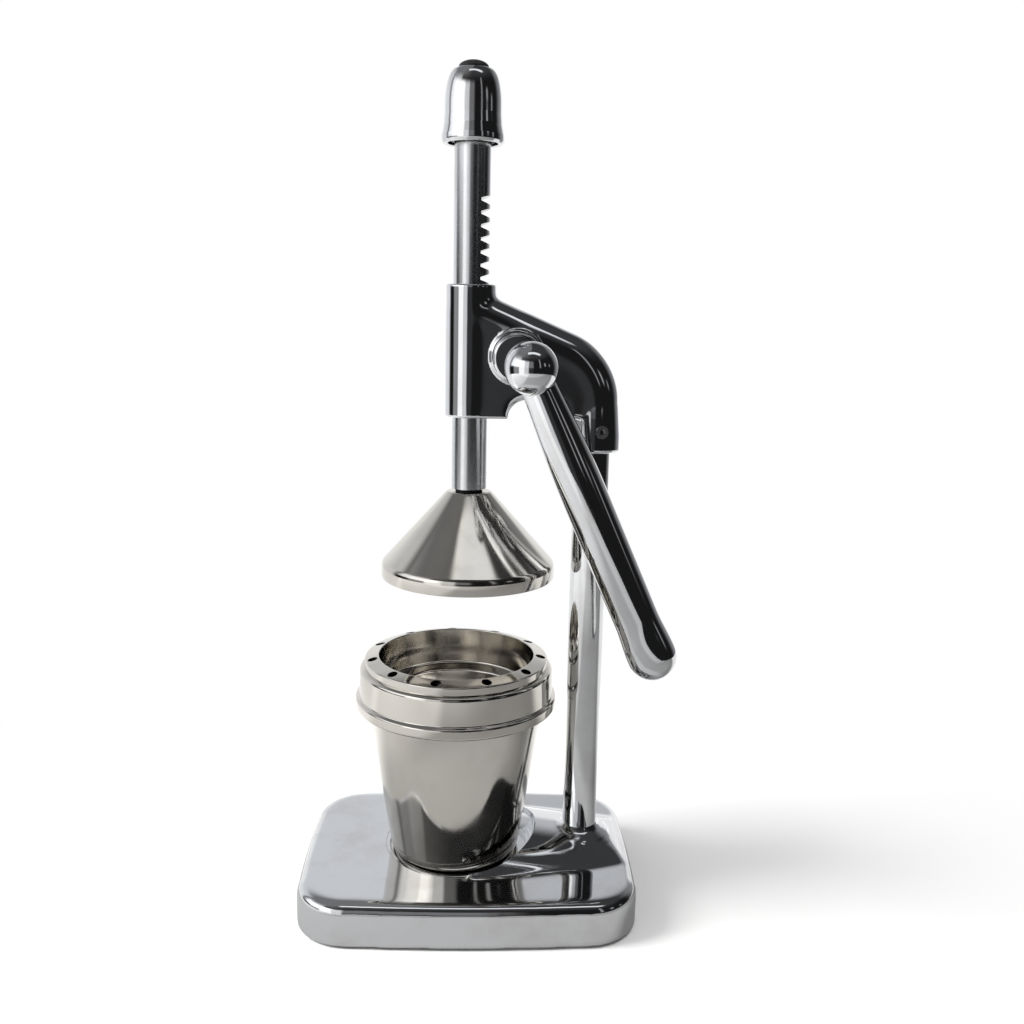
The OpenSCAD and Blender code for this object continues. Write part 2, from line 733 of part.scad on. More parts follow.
module shaft_nut() part(chrome) translate([pivot_x, rear_face + washer_t, pivot_z]) rotate([-90, 0, 0])
    difference() {
        union() {
            cylinder(r = nut_r, h = nut_h, $fn = 6);
            intersection() {
                translate([0, 0, nut_h - 2]) sphere(nut_r * 0.8);
                cylinder(r = nut_r, h = nut_h + nut_r);
            }
        }
        translate([0, 0, -over]) cylinder(r = shaft_r, h = nut_h - 2 + over);
    }

// Outside of the lever's hub: a cylinder on the shaft, and the ball in front of it
module hub_form() {
    cross_rod(pivot_x, pivot_z, hub_r, -hub_front, -hub_back);
    translate(ball_at) sphere(ball_r);
    neck_r = min(hub_r, ball_r) - norm([ball_x, ball_drop]) / 2 - 1;
    cross_rod(pivot_x + ball_x / 2, pivot_z - ball_drop / 2, neck_r, -ball_y, -hub_front + 1);
}

// A frame along the handle, from the level of the ball down to its end
module along_handle() translate(lever_at) rotate([0, 180 - lever_hang, 0]) children();

module lever_hub() part(chrome) difference() {
    hub_form();
    cross_rod(pivot_x, pivot_z, shaft_r, -shaft_front, 0);
    along_handle() translate([0, 0, -spigot_up]) cylinder(r = spigot_r, h = lever_l);
    translate([pivot_x, -set_screw_y, pivot_z]) cylinder(r = set_screw_d / 2, h = hub_d);
}

module hub_set_screw() part(zinc) translate([pivot_x, -set_screw_y, pivot_z + shaft_r]) difference() {
    cylinder(r = set_screw_d / 2, h = set_screw_l);
    translate([0, 0, set_screw_l / 2]) cylinder(r = set_screw_d / 4, h = set_screw_l, $fn = 6);
}

// The handle swells from its neck to its middle, and again into its round end
module handle_form() rotate_extrude() polygon(concat(
    [[0, 0], [handle_top_d / 2, 0]],
    [for (i = [0:8]) let (t = i / 8)
        [
            handle_top_d / 2 + (handle_d - handle_top_d) / 2 * sin(90 * t),
            handle_neck + (handle_swell - handle_neck) * t
        ]],
    [for (i = [0:6]) let (t = i / 6)
        [
            handle_d / 2 + (handle_end_r - handle_d / 2) * (1 - cos(180 * t)) / 2,
            lever_l - bulb_run * (1 - t)
        ]],
    arc(0, lever_l, handle_end_r, 0, 90)
));

module lever_handle() part(chrome) {
    difference() {
        along_handle() handle_form();
        hub_form();
        along_handle() cylinder(r = spigot_r, h = spigot_down);
    }
    along_handle() translate([0, 0, -spigot_up]) cylinder(r = spigot_r, h = spigot_down + spigot_up);
}

// Outside of the cup's wall from its foot to its top, drawn in by t
function cup_side(t) = let (
    straight_z = cup_h - cup_straight,
    lean = atan((cup_top_r - cup_foot_r) / (straight_z - cup_round)),
    c = [cup_foot_r - cup_round, cup_round]
) concat(
    arc(c[0], c[1], cup_round - t, 270, 360 - lean),
    [[cup_top_r - t, straight_z], [cup_top_r - t, cup_h]]
);

module cup() part(stainless) translate([-cup_off, 0, seat_z]) difference() {
    rotate_extrude() polygon(concat([[0, 0]], cup_side(0), [[0, cup_h]]));
    rotate_extrude() polygon(concat(
        [[0, cup_t]], cup_side(cup_t), [[cup_top_r - cup_t, cup_h + over], [0, cup_h + over]]
    ));
}

// A band round the cup's top, with a flange on its rim and a rolled bead below
module strainer_collar() part(stainless) translate([-cup_off, 0, ring_top])
    rotate_extrude() polygon(concat(
    [[ring_in_r, 0], [ring_r - 2.5, 0]],
    arc(ring_r - 2.5, -2.5, 2.5, 90, 0, 6),
    [[ring_r + 0.4, -ring_h]],
    [for (i = [0:12]) let (a = 90 - 15 * i)
        [ring_r + 0.4 + bead_out * cos(a), -ring_h - bead_h / 2 * (1 - sin(a))]],
    [[ring_r - ring_t + 0.4, -ring_h - bead_h], [ring_r - ring_t, -3]],
    [[ring_r - ring_t - 2, -ring_t], [ring_in_r, -ring_t]]
));

// Inside of the bowl from its mouth to its floor
function bowl_inside() = [
    [mouth_r, mouth_z], [ledge_out_r, ledge_z], [ledge_in_r, ledge_z - 1.5], [floor_r, floor_z + 1.5],
    [floor_r - 1.5, floor_z], [0, floor_z]
];

module strainer_bowl() part(stainless) translate([-cup_off, 0, 0]) difference() {
    rotate_extrude() polygon(concat(
        bowl_inside(),
        [
            [0, floor_z - bowl_t], [floor_r, floor_z - bowl_t], [floor_r + bowl_t, floor_z],
            [ledge_in_r + bowl_t, ledge_z - 1.5 - bowl_t], [ledge_out_r + bowl_t, ledge_z - bowl_t],
            [mouth_r + bowl_t, mouth_z - 2 * bowl_t], [rim_r - bowl_t, rim_z - bowl_t],
            [rim_r - bowl_t, ring_top], [rim_r, ring_top], [rim_r, rim_z]
        ]
    ));
    for (k = [0:vents - 1]) rotate(-102 + k * 360 / vents)
        translate([vent_ring_r, 0, ring_top]) cylinder(r = vent_d / 2, h = rim_lip + 2 * rim_rise, $fn = 24);
    for (k = [0:drains - 1]) rotate(k * 360 / drains)
        translate([drain_ring_r, 0, floor_z - 2 * bowl_t])
            cylinder(r = drain_d / 2, h = 3 * bowl_t, $fn = 24);
}

base_casting();
base_plate();
rubber_feet();
foot_screws();
column();
column_bolt();
column_washer();
head_casting();
clamp_screw();
front_bush();
rear_bush();
rack_rod();
top_cap();
cap_screw();
cap_plug();
press_cone();
cone_washer();
cone_screw();
pinion();
pinion_shaft();
shaft_key();
shaft_washer();
shaft_nut();
lever_hub();
hub_set_screw();
lever_handle();
cup();
strainer_collar();
strainer_bowl();
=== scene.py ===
"""Looks of the lever citrus press: smooth castings, turned sheet pieces, chrome and satin steel."""

import json
import logging
import math
from contextlib import contextmanager
from dataclasses import dataclass, field
from enum import Enum
from typing import Callable, Iterable, Iterator, Sequence, Union

import bpy
from mathutils import Matrix, Vector


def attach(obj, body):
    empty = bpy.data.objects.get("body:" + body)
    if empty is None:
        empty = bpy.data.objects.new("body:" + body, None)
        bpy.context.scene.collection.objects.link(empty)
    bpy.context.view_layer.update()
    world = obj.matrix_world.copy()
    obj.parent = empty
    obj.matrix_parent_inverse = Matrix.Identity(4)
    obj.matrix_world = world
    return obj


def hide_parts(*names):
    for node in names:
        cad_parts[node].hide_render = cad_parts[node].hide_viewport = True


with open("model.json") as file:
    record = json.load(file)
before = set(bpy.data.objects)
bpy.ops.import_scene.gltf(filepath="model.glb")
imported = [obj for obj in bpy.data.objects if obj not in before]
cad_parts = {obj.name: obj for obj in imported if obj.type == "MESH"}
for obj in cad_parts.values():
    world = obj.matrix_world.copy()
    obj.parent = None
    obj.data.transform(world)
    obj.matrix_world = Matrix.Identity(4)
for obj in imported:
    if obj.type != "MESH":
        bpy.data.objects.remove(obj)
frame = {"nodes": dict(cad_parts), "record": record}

logging.basicConfig(level=logging.INFO, format="%(message)s")
LOG = logging.getLogger("press")
MM = 0.001
WELD = 0.002 * MM
UP = Vector((0, 0, 1))
FRONT = Vector((0, -1, 0))
RIGHT = Vector((1, 0, 0))
Point = tuple[float, float]
Triple = tuple[float, float, float]
Piece = bpy.types.Object


class Blend(Enum):
    """How one solid is combined with another."""

    ADD = "UNION"
    CUT = "DIFFERENCE"
    KEEP = "INTERSECT"


class Grain(Enum):
    """Direction of the fine marks in a metal, as a stretch of the pattern along X, Y and Z."""

    NONE = (1.0, 1.0, 1.0)
    ROUND = (0.02, 0.02, 3.0)
    ALONG = (3.0, 3.0, 0.04)


def arc(x: float, z: float, r: float, start: float, end: float, steps: int = 12) -> list[Point]:
    """Points of an arc.

    Args:
        x, z: middle of the arc.
        r: radius.
        start, end: angles in degrees.
        steps: number of chords.
    Returns:
        The points from start to end.
    """
    turns = [math.radians(start + (end - start) * i / steps) for i in range(steps + 1)]
    return [(x + r * math.cos(t), z + r * math.sin(t)) for t in turns]


def ramp(value: float, low: float, high: float) -> float:
    """0 up to low, 1 from high on, and straight between them."""
    return min(1.0, max(0.0, (value - low) / (high - low)))


def everywhere(p: Vector) -> float:
    """Softens every point alike."""
    return 1.0


def rounded(corners: Sequence[Triple], steps: int = 8) -> list[Point]:
    """An open outline with its corners rounded.

    Args:
        corners: (r, z, radius) of each corner; a radius of 0 keeps it sharp.
        steps: chords of each rounding.
    Returns:
        The points of the outline.
    """
    most = 0.49
    out: list[Point] = []
    for i, (x, z, r) in enumerate(corners):
        here = Vector((x, z))
        if r <= 0 or i in (0, len(corners) - 1):
            out.append((x, z))
            continue
        back = Vector(corners[i - 1][:2]) - here
        ahead = Vector(corners[i + 1][:2]) - here
        half = back.angle(ahead) / 2
        run = min(r / math.tan(half), most * back.length, most * ahead.length)
        first = here + back.normalized() * run
        last = here + ahead.normalized() * run
        for k in range(steps + 1):
            t = k / steps
            p = first * (1 - t) ** 2 + here * 2 * t * (1 - t) + last * t**2
            out.append((p.x, p.y))
    return out


class Bench:
    """Modelling steps, each made of the operators a person would use."""

    @staticmethod
    def clear() -> None:
        """Leaves edit mode and deselects everything."""
        if bpy.context.object and bpy.context.object.mode != "OBJECT":
            bpy.ops.object.mode_set(mode="OBJECT")
        bpy.ops.object.select_all(action="DESELECT")

    @classmethod
    def take(cls, obj: Piece) -> None:
        """Makes a piece the only selected and the active object.

        Args:
            obj: the piece.
        """
        cls.clear()
        obj.select_set(True)
        bpy.context.view_layer.objects.active = obj

    @staticmethod
    @contextmanager
    def editing() -> Iterator[None]:
        """Edit mode with everything selected, while the lines under it run."""
        bpy.ops.object.mode_set(mode="EDIT")
        bpy.ops.mesh.select_all(action="SELECT")
        yield
        bpy.ops.object.mode_set(mode="OBJECT")

    @classmethod
    def settle(cls, obj: Piece) -> None:
        """Puts the place of a piece into its mesh."""
        cls.take(obj)
        bpy.ops.object.transform_apply(location=True, rotation=True, scale=True)

    @classmethod
    def path(cls, points: Sequence[Vector]) -> Piece:
        """Draws a chain of edges, by extruding one vertex.

        Args:
            points: its points, in metres.
        Returns:
            The chain.
        """
        cls.clear()
        bpy.ops.mesh.primitive_plane_add(size=10 * MM, location=points[0])
        obj = bpy.context.object
        with cls.editing():
            bpy.ops.mesh.select_mode(type="VERT")
            bpy.ops.mesh.merge(type="CENTER")
            for a, b in zip(points, points[1:]):
                cls.push(b - a)
        cls.settle(obj)
        return obj

    @staticmethod
    def push(move: Vector) -> None:
        """Extrudes what is selected by that much, in edit mode."""
        bpy.ops.mesh.extrude_region_move(TRANSFORM_OT_translate={"value": move})

    @staticmethod
    def weld() -> None:
        """Merges touching points and turns the faces outwards, in edit mode."""
        bpy.ops.mesh.select_all(action="SELECT")
        bpy.ops.mesh.remove_doubles(threshold=WELD)
        bpy.ops.mesh.normals_make_consistent(inside=False)

    @classmethod
    def turn(
        cls, outline: Sequence[Point], foot: Vector, axis: Vector = UP, out: Vector = FRONT, steps: int = 128
    ) -> Piece:
        """Turns an outline about an axis.

        Args:
            outline: (radius, distance along the axis) in mm.
            foot: point of the axis from which distances run, in metres.
            axis: direction of the axis.
            out: direction of the outline's radius.
            steps: sides of the turned piece.
        Returns:
            The closed piece.
        """
        obj = cls.path([foot + out * (r * MM) + axis * (z * MM) for r, z in outline])
        with cls.editing():
            bpy.ops.mesh.spin(steps=steps, angle=2 * math.pi, center=foot, axis=axis)
            cls.weld()
        return obj

    @classmethod
    def block(cls, plan: Sequence[Vector], rise: Vector) -> Piece:
        """Extrudes a closed plan into a block.

        Args:
            plan: points of the plan, in metres.
            rise: how far and which way it is extruded.
        Returns:
            The block.
        """
        obj = cls.path(plan)
        with cls.editing():
            bpy.ops.mesh.edge_face_add()
            cls.push(rise)
            cls.weld()
        return obj

    @classmethod
    def bar(cls, r: float, start: Vector, end: Vector, sides: int = 96) -> Piece:
        """A round bar, as a start for other shapes.

        Args:
            r: its radius, in metres.
            start, end: the middles of its ends.
            sides: number of its sides.
        Returns:
            The bar.
        """
        cls.clear()
        along = end - start
        turn = UP.rotation_difference(along.normalized()).to_euler()
        bpy.ops.mesh.primitive_cylinder_add(
            vertices=sides, radius=r, depth=along.length, location=(start + end) / 2, rotation=turn
        )
        obj = bpy.context.object
        cls.settle(obj)
        return obj

    @classmethod
    def modify(cls, obj: Piece, kind: str, **settings: object) -> None:
        """Applies a modifier to a piece.

        Args:
            obj: the piece.
            kind: type of the modifier.
            settings: the modifier's own properties.
        """
        cls.take(obj)
        made = obj.modifiers.new(kind.lower(), kind)
        for key, value in settings.items():
            setattr(made, key, value)
        bpy.ops.object.modifier_apply(modifier=made.name)

    @classmethod
    def combine(cls, obj: Piece, tool: Piece, how: Blend) -> None:
        """Combines a piece with another solid, which goes."""
        cls.modify(obj, "BOOLEAN", operation=how.value, solver="EXACT", object=tool)
        bpy.data.objects.remove(tool, do_unlink=True)

    @classmethod
    def remesh(cls, obj: Piece, voxel: float) -> None:
        """Makes an even mesh of a piece, with faces of that size in metres."""
        cls.modify(obj, "REMESH", mode="VOXEL", voxel_size=voxel)

    @classmethod
    def soften(cls, obj: Piece, passes: int, where: Callable[[Vector], float]) -> None:
        """Smooths a piece.

        Args:
            obj: the piece.
            passes: how often it is smoothed.
            where: how much of it each point gets, from 0 to 1.
        """
        group = obj.vertex_groups.new(name="soft")
        for v in obj.data.vertices:
            group.add([v.index], where(v.co), "REPLACE")
        cls.modify(obj, "SMOOTH", factor=0.5, iterations=passes, vertex_group=group.name)
        obj.vertex_groups.clear()


class Field:
    """A value in a shader tree, with ordinary arithmetic."""

    def __init__(self, graph: "Graph", socket: bpy.types.NodeSocket) -> None:
        """Wraps an output socket of a graph."""
        self.graph = graph
        self.socket = socket

    def join(self, operation: str, left: "Operand", right: "Operand" = 0.0) -> "Field":
        """Result of one math operation."""
        node = self.graph.node("ShaderNodeMath", {0: left, 1: right}, operation=operation)
        return Field(self.graph, node.outputs[0])

    def __add__(self, other: "Operand") -> "Field":
        """Sum."""
        return self.join("ADD", self, other)

    __radd__ = __add__

    def __sub__(self, other: "Operand") -> "Field":
        """Difference."""
        return self.join("SUBTRACT", self, other)

    def __rsub__(self, other: "Operand") -> "Field":
        """Difference, with the field taken away."""
        return self.join("SUBTRACT", other, self)

    def __mul__(self, other: "Operand") -> "Field":
        """Product."""
        return self.join("MULTIPLY", self, other)

    __rmul__ = __mul__

    def __pow__(self, other: "Operand") -> "Field":
        """Power."""
        return self.join("POWER", self, other)

    def __neg__(self) -> "Field":
        """The field with its sign changed."""
        return self * -1.0

    def most(self, other: "Operand") -> "Field":
        """The larger of two values."""
        return self.join("MAXIMUM", self, other)

    def step(self, low: float, high: float) -> "Field":
        """Smooth step.

        Args:
            low: where it is 0.
            high: where it is 1; it may be less than low.
        Returns:
            The step.
        """
        node = self.graph.node(
            "ShaderNodeMapRange",
            {0: self, 1: min(low, high), 2: max(low, high), 3: float(low > high), 4: float(low <= high)},
            interpolation_type="SMOOTHSTEP",
        )
        return Field(self.graph, node.outputs[0])

    def band(self, low: float, high: float, soft: float) -> "Field":
        """1 between low and high, with soft edges."""
        return self.step(low - soft, low + soft) * self.step(high + soft, high - soft)


Operand = Union[Field, int, float]
Colour = Union[Field, Triple]


class Graph:
    """Builds the nodes of one material or world."""

    def __init__(self, tree: bpy.types.NodeTree) -> None:
        """Starts with an empty tree."""
        self.tree = tree
        tree.nodes.clear()

    def node(self, kind: str, sockets: dict, **settings: object) -> bpy.types.Node:
        """Adds a node.

        Args:
            kind: its type.
            sockets: input name or number, to a value or a Field.
            settings: the node's own properties.
        Returns:
            The node.
        """
        made = self.tree.nodes.new(kind)
        for key, value in settings.items():
            setattr(made, key, value)
        for key, value in sockets.items():
            if isinstance(value, Field):
                self.tree.links.new(value.socket, made.inputs[key])
            elif isinstance(value, tuple) and made.inputs[key].type == "RGBA":
                made.inputs[key].default_value = (*value, 1.0)
            else:
                made.inputs[key].default_value = value
        return made

    def out(self, node: bpy.types.Node, name: Union[str, int] = 0) -> Field:
        """An output of a node as a Field."""
        return Field(self, node.outputs[name])

    def rays(self) -> tuple[Field, Field]:
        """The rays that show a background.

        Returns:
            1 for the camera's rays, and 1 for those seen in metal or through glass.
        """
        path = self.node("ShaderNodeLightPath", {})
        mirrored = self.out(path, "Is Glossy Ray").most(self.out(path, "Is Transmission Ray"))
        return self.out(path, "Is Camera Ray"), mirrored

    def place(self, stretch: Triple = (1.0, 1.0, 1.0)) -> Field:
        """Place on the piece, in metres, stretched per axis."""
        where = self.out(self.node("ShaderNodeTexCoord", {}), "Object")
        return self.out(self.node("ShaderNodeMapping", {"Vector": where, "Scale": stretch}))

    def axes(self, vector: Field) -> tuple[Field, Field, Field]:
        """The three parts of a vector."""
        node = self.node("ShaderNodeSeparateXYZ", {0: vector})
        return self.out(node, 0), self.out(node, 1), self.out(node, 2)

    def noise(self, vector: Field, scale: float, detail: float = 3.0, rough: float = 0.5) -> Field:
        """Soft noise, about 0.5 on average."""
        sockets = {"Vector": vector, "Scale": scale, "Detail": detail, "Roughness": rough}
        return self.out(self.node("ShaderNodeTexNoise", sockets))

    def cells(self, vector: Field, scale: float) -> Field:
        """Distance to the nearest of scattered points."""
        return self.out(self.node("ShaderNodeTexVoronoi", {"Vector": vector, "Scale": scale}), "Distance")

    def mix(self, amount: Operand, first: Colour, second: Colour) -> Field:
        """Blend of two colours."""
        node = self.node("ShaderNodeMix", {0: amount, 6: first, 7: second}, data_type="RGBA")
        return self.out(node, 2)

    def bump(self, height: Field, depth: float) -> Field:
        """Normal of a surface with that height, in units of depth."""
        return self.out(self.node("ShaderNodeBump", {"Height": height, "Distance": depth, "Strength": 1.0}))

    def finish(self, shader: bpy.types.Node, kind: str = "ShaderNodeOutputMaterial") -> None:
        """Connects a shader to the output."""
        self.node(kind, {"Surface": self.out(shader)})


@dataclass(frozen=True)
class Finish:
    """A finish that pieces are dressed in."""

    name: str
    colour: Triple
    rough: float

    def paint(self, graph: Graph) -> bpy.types.Node:
        """Builds the shader; each kind of finish has its own."""
        raise NotImplementedError

    def material(self) -> bpy.types.Material:
        """The finish as a material, made once.

        Returns:
            The material.
        """
        title = "worn_" + self.name
        made = bpy.data.materials.get(title)
        if made is None:
            made = bpy.data.materials.new(title)
            made.use_nodes = True
            graph = Graph(made.node_tree)
            graph.finish(self.paint(graph))
            LOG.info("finish %s", self.name)
        return made

    def dress(self, obj: Piece) -> None:
        """Puts the finish on a piece."""
        obj.data.materials.clear()
        obj.data.materials.append(self.material())


@dataclass(frozen=True)
class Metal(Finish):
    """Bare or plated metal with fine marks, smears and small pits."""

    grain: Grain = Grain.NONE
    marks: float = 0.1
    smears: float = 0.05
    wave: float = 0.0
    pits: float = 0.0
    stain: Triple = (0.45, 0.42, 0.38)
    relief_depth: float = 0.06 * MM
    least_rough: float = 0.015

    def paint(self, graph: Graph) -> bpy.types.Node:
        """A metallic shader whose roughness, colour and relief follow the marks.

        Args:
            graph: the material's nodes.
        Returns:
            The shader.
        """
        here = graph.place()
        lines = graph.noise(graph.place(self.grain.value), scale=900.0, detail=4.0, rough=0.7)
        cloud = graph.noise(here, scale=38.0, detail=4.0, rough=0.6)
        broad = graph.noise(here, scale=14.0, detail=2.0)
        patches = graph.noise(here, scale=60.0).step(0.50, 0.66)
        speck = graph.cells(here, scale=420.0).step(0.10, 0.02) * patches
        scratch = graph.noise(graph.place((0.35, 0.9, 3.2)), scale=260.0, detail=2.0).step(0.73, 0.78)
        dull = cloud.step(0.42, 0.75)
        rough = self.rough + self.marks * (lines - 0.5) + self.smears * dull
        rough = rough + self.pits * (speck + 0.6 * scratch)
        tint = graph.mix(dull * 0.28 + speck * self.pits * 2.0, self.colour, self.stain)
        relief = lines * self.marks * 0.03 + broad * self.wave * 24.0 - speck * self.pits * 0.8
        return graph.node(
            "ShaderNodeBsdfPrincipled",
            {
                "Base Color": tint,
                "Metallic": 1.0,
                "Roughness": rough.most(self.least_rough),
                "Normal": graph.bump(relief, self.relief_depth),
            },
        )


@dataclass(frozen=True)
class Moulded(Finish):
    """Plastic or rubber with a fine surface."""

    grit: float = 0.2
    shine: float = 0.3
    grit_depth: float = 0.2 * MM

    def paint(self, graph: Graph) -> bpy.types.Node:
        """A plain shader with dust, worn spots and grit.

        Args:
            graph: the material's nodes.
        Returns:
            The shader.
        """
        here = graph.place()
        dust = graph.noise(here, scale=90.0, detail=4.0, rough=0.65)
        grain = graph.noise(here, scale=2600.0, detail=2.0)
        pale = tuple(min(1.0, 2.2 * c + 0.03) for c in self.colour)
        tint = graph.mix(dust.step(0.5, 0.8) * 0.5, self.colour, pale)
        return graph.node(
            "ShaderNodeBsdfPrincipled",
            {
                "Base Color": tint,
                "Roughness": self.rough + 0.2 * (dust - 0.5),
                "Normal": graph.bump(grain * self.grit, self.grit_depth),
                "Specular IOR Level": self.shine,
            },
        )


CHROME = Metal("chrome_cast", (0.74, 0.75, 0.765), 0.045, Grain.NONE, 0.02, 0.06, wave=0.35, pits=0.08)
BAR = Metal("chrome_bar", (0.73, 0.74, 0.75), 0.05, Grain.ALONG, 0.05, 0.05, wave=0.12, pits=0.06)
GROUND = Metal("ground_bar", (0.70, 0.71, 0.725), 0.21, Grain.ALONG, 0.12, 0.06, wave=0.12, pits=0.06)
SATIN = Metal("stainless", (0.64, 0.615, 0.57), 0.085, Grain.ROUND, 0.05, 0.07, wave=0.2, pits=0.12)
ZINC = Metal("zinc_steel", (0.50, 0.51, 0.52), 0.28, Grain.ROUND, 0.15, 0.12, wave=0.2, pits=0.1)
BRONZE = Metal("bronze", (0.58, 0.42, 0.22), 0.25, Grain.ROUND, 0.15, 0.12, 0.2, 0.1, stain=(0.3, 0.2, 0.1))
PLUG = Moulded("dark_plastic", (0.014, 0.014, 0.015), 0.42, grit=0.1, shine=0.3)
RUBBER = Moulded("rubber", (0.015, 0.015, 0.015), 0.75, grit=0.8, shine=0.2)
FINISHES = {f.name: f for f in (CHROME, BAR, SATIN, ZINC, BRONZE, PLUG, RUBBER)}
OWN_FINISHES = {"rack_rod": GROUND}


@dataclass
class Sizes:
    """Places that several sub-assemblies share, in mm from the press axis and the table."""

    axis_x: float = -9.809
    axis_y: float = 3.0
    base_top: float = 23.8
    base_low: float = 1.2
    column_x: float = 63.5
    column_r: float = 9.25
    rod_r: float = 9.0
    guide_low: float = 260.44
    pivot_x: float = 23.15
    pivot_z: float = 291.74
    cup_off: float = 5.6
    seat_off: float = 3.0
    seat_z: float = 22.3

    def at(self, x: float, y: float, z: float) -> Vector:
        """A point given from the press axis, in metres in the frame."""
        return Vector(((x + self.axis_x) * MM, (y + self.axis_y) * MM, z * MM))


@dataclass
class Assembly:
    """Pieces that move together."""

    sizes: Sizes
    body: str
    shown: list[str] = field(default_factory=list)

    def build(self) -> None:
        """Models the pieces of this sub-assembly."""
        raise NotImplementedError

    def keep(self, obj: Piece, node: str, finish: Finish, angle: float = 40.0) -> None:
        """Shades and dresses a piece and puts it in the place of a CAD node.

        Args:
            obj: the piece.
            node: name of the node.
            finish: what the piece is dressed in.
            angle: edges sharper than this stay sharp, in degrees.
        """
        Bench.take(obj)
        bpy.ops.object.shade_smooth_by_angle(angle=math.radians(angle))
        Bench.clear()
        obj.name = node + "_piece"
        obj.data.name = obj.name
        finish.dress(obj)
        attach(obj, self.body)
        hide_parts(node)
        self.shown.append(node)
        LOG.info("%s: %s, %d faces", self.body, obj.name, len(obj.data.polygons))

    def dress(self, nodes: Iterable[str]) -> None:
        """Puts finishes on the CAD nodes that are shown as they are.

        Args:
            nodes: names of the nodes.
        """
        slots = {s["node"]: s["material_slot"] for s in frame["record"]["subparts"]}
        for name in nodes:
            OWN_FINISHES.get(name, FINISHES[slots[name]]).dress(frame["nodes"][name])
            LOG.info("%s: %s as in the CAD", self.body, name)


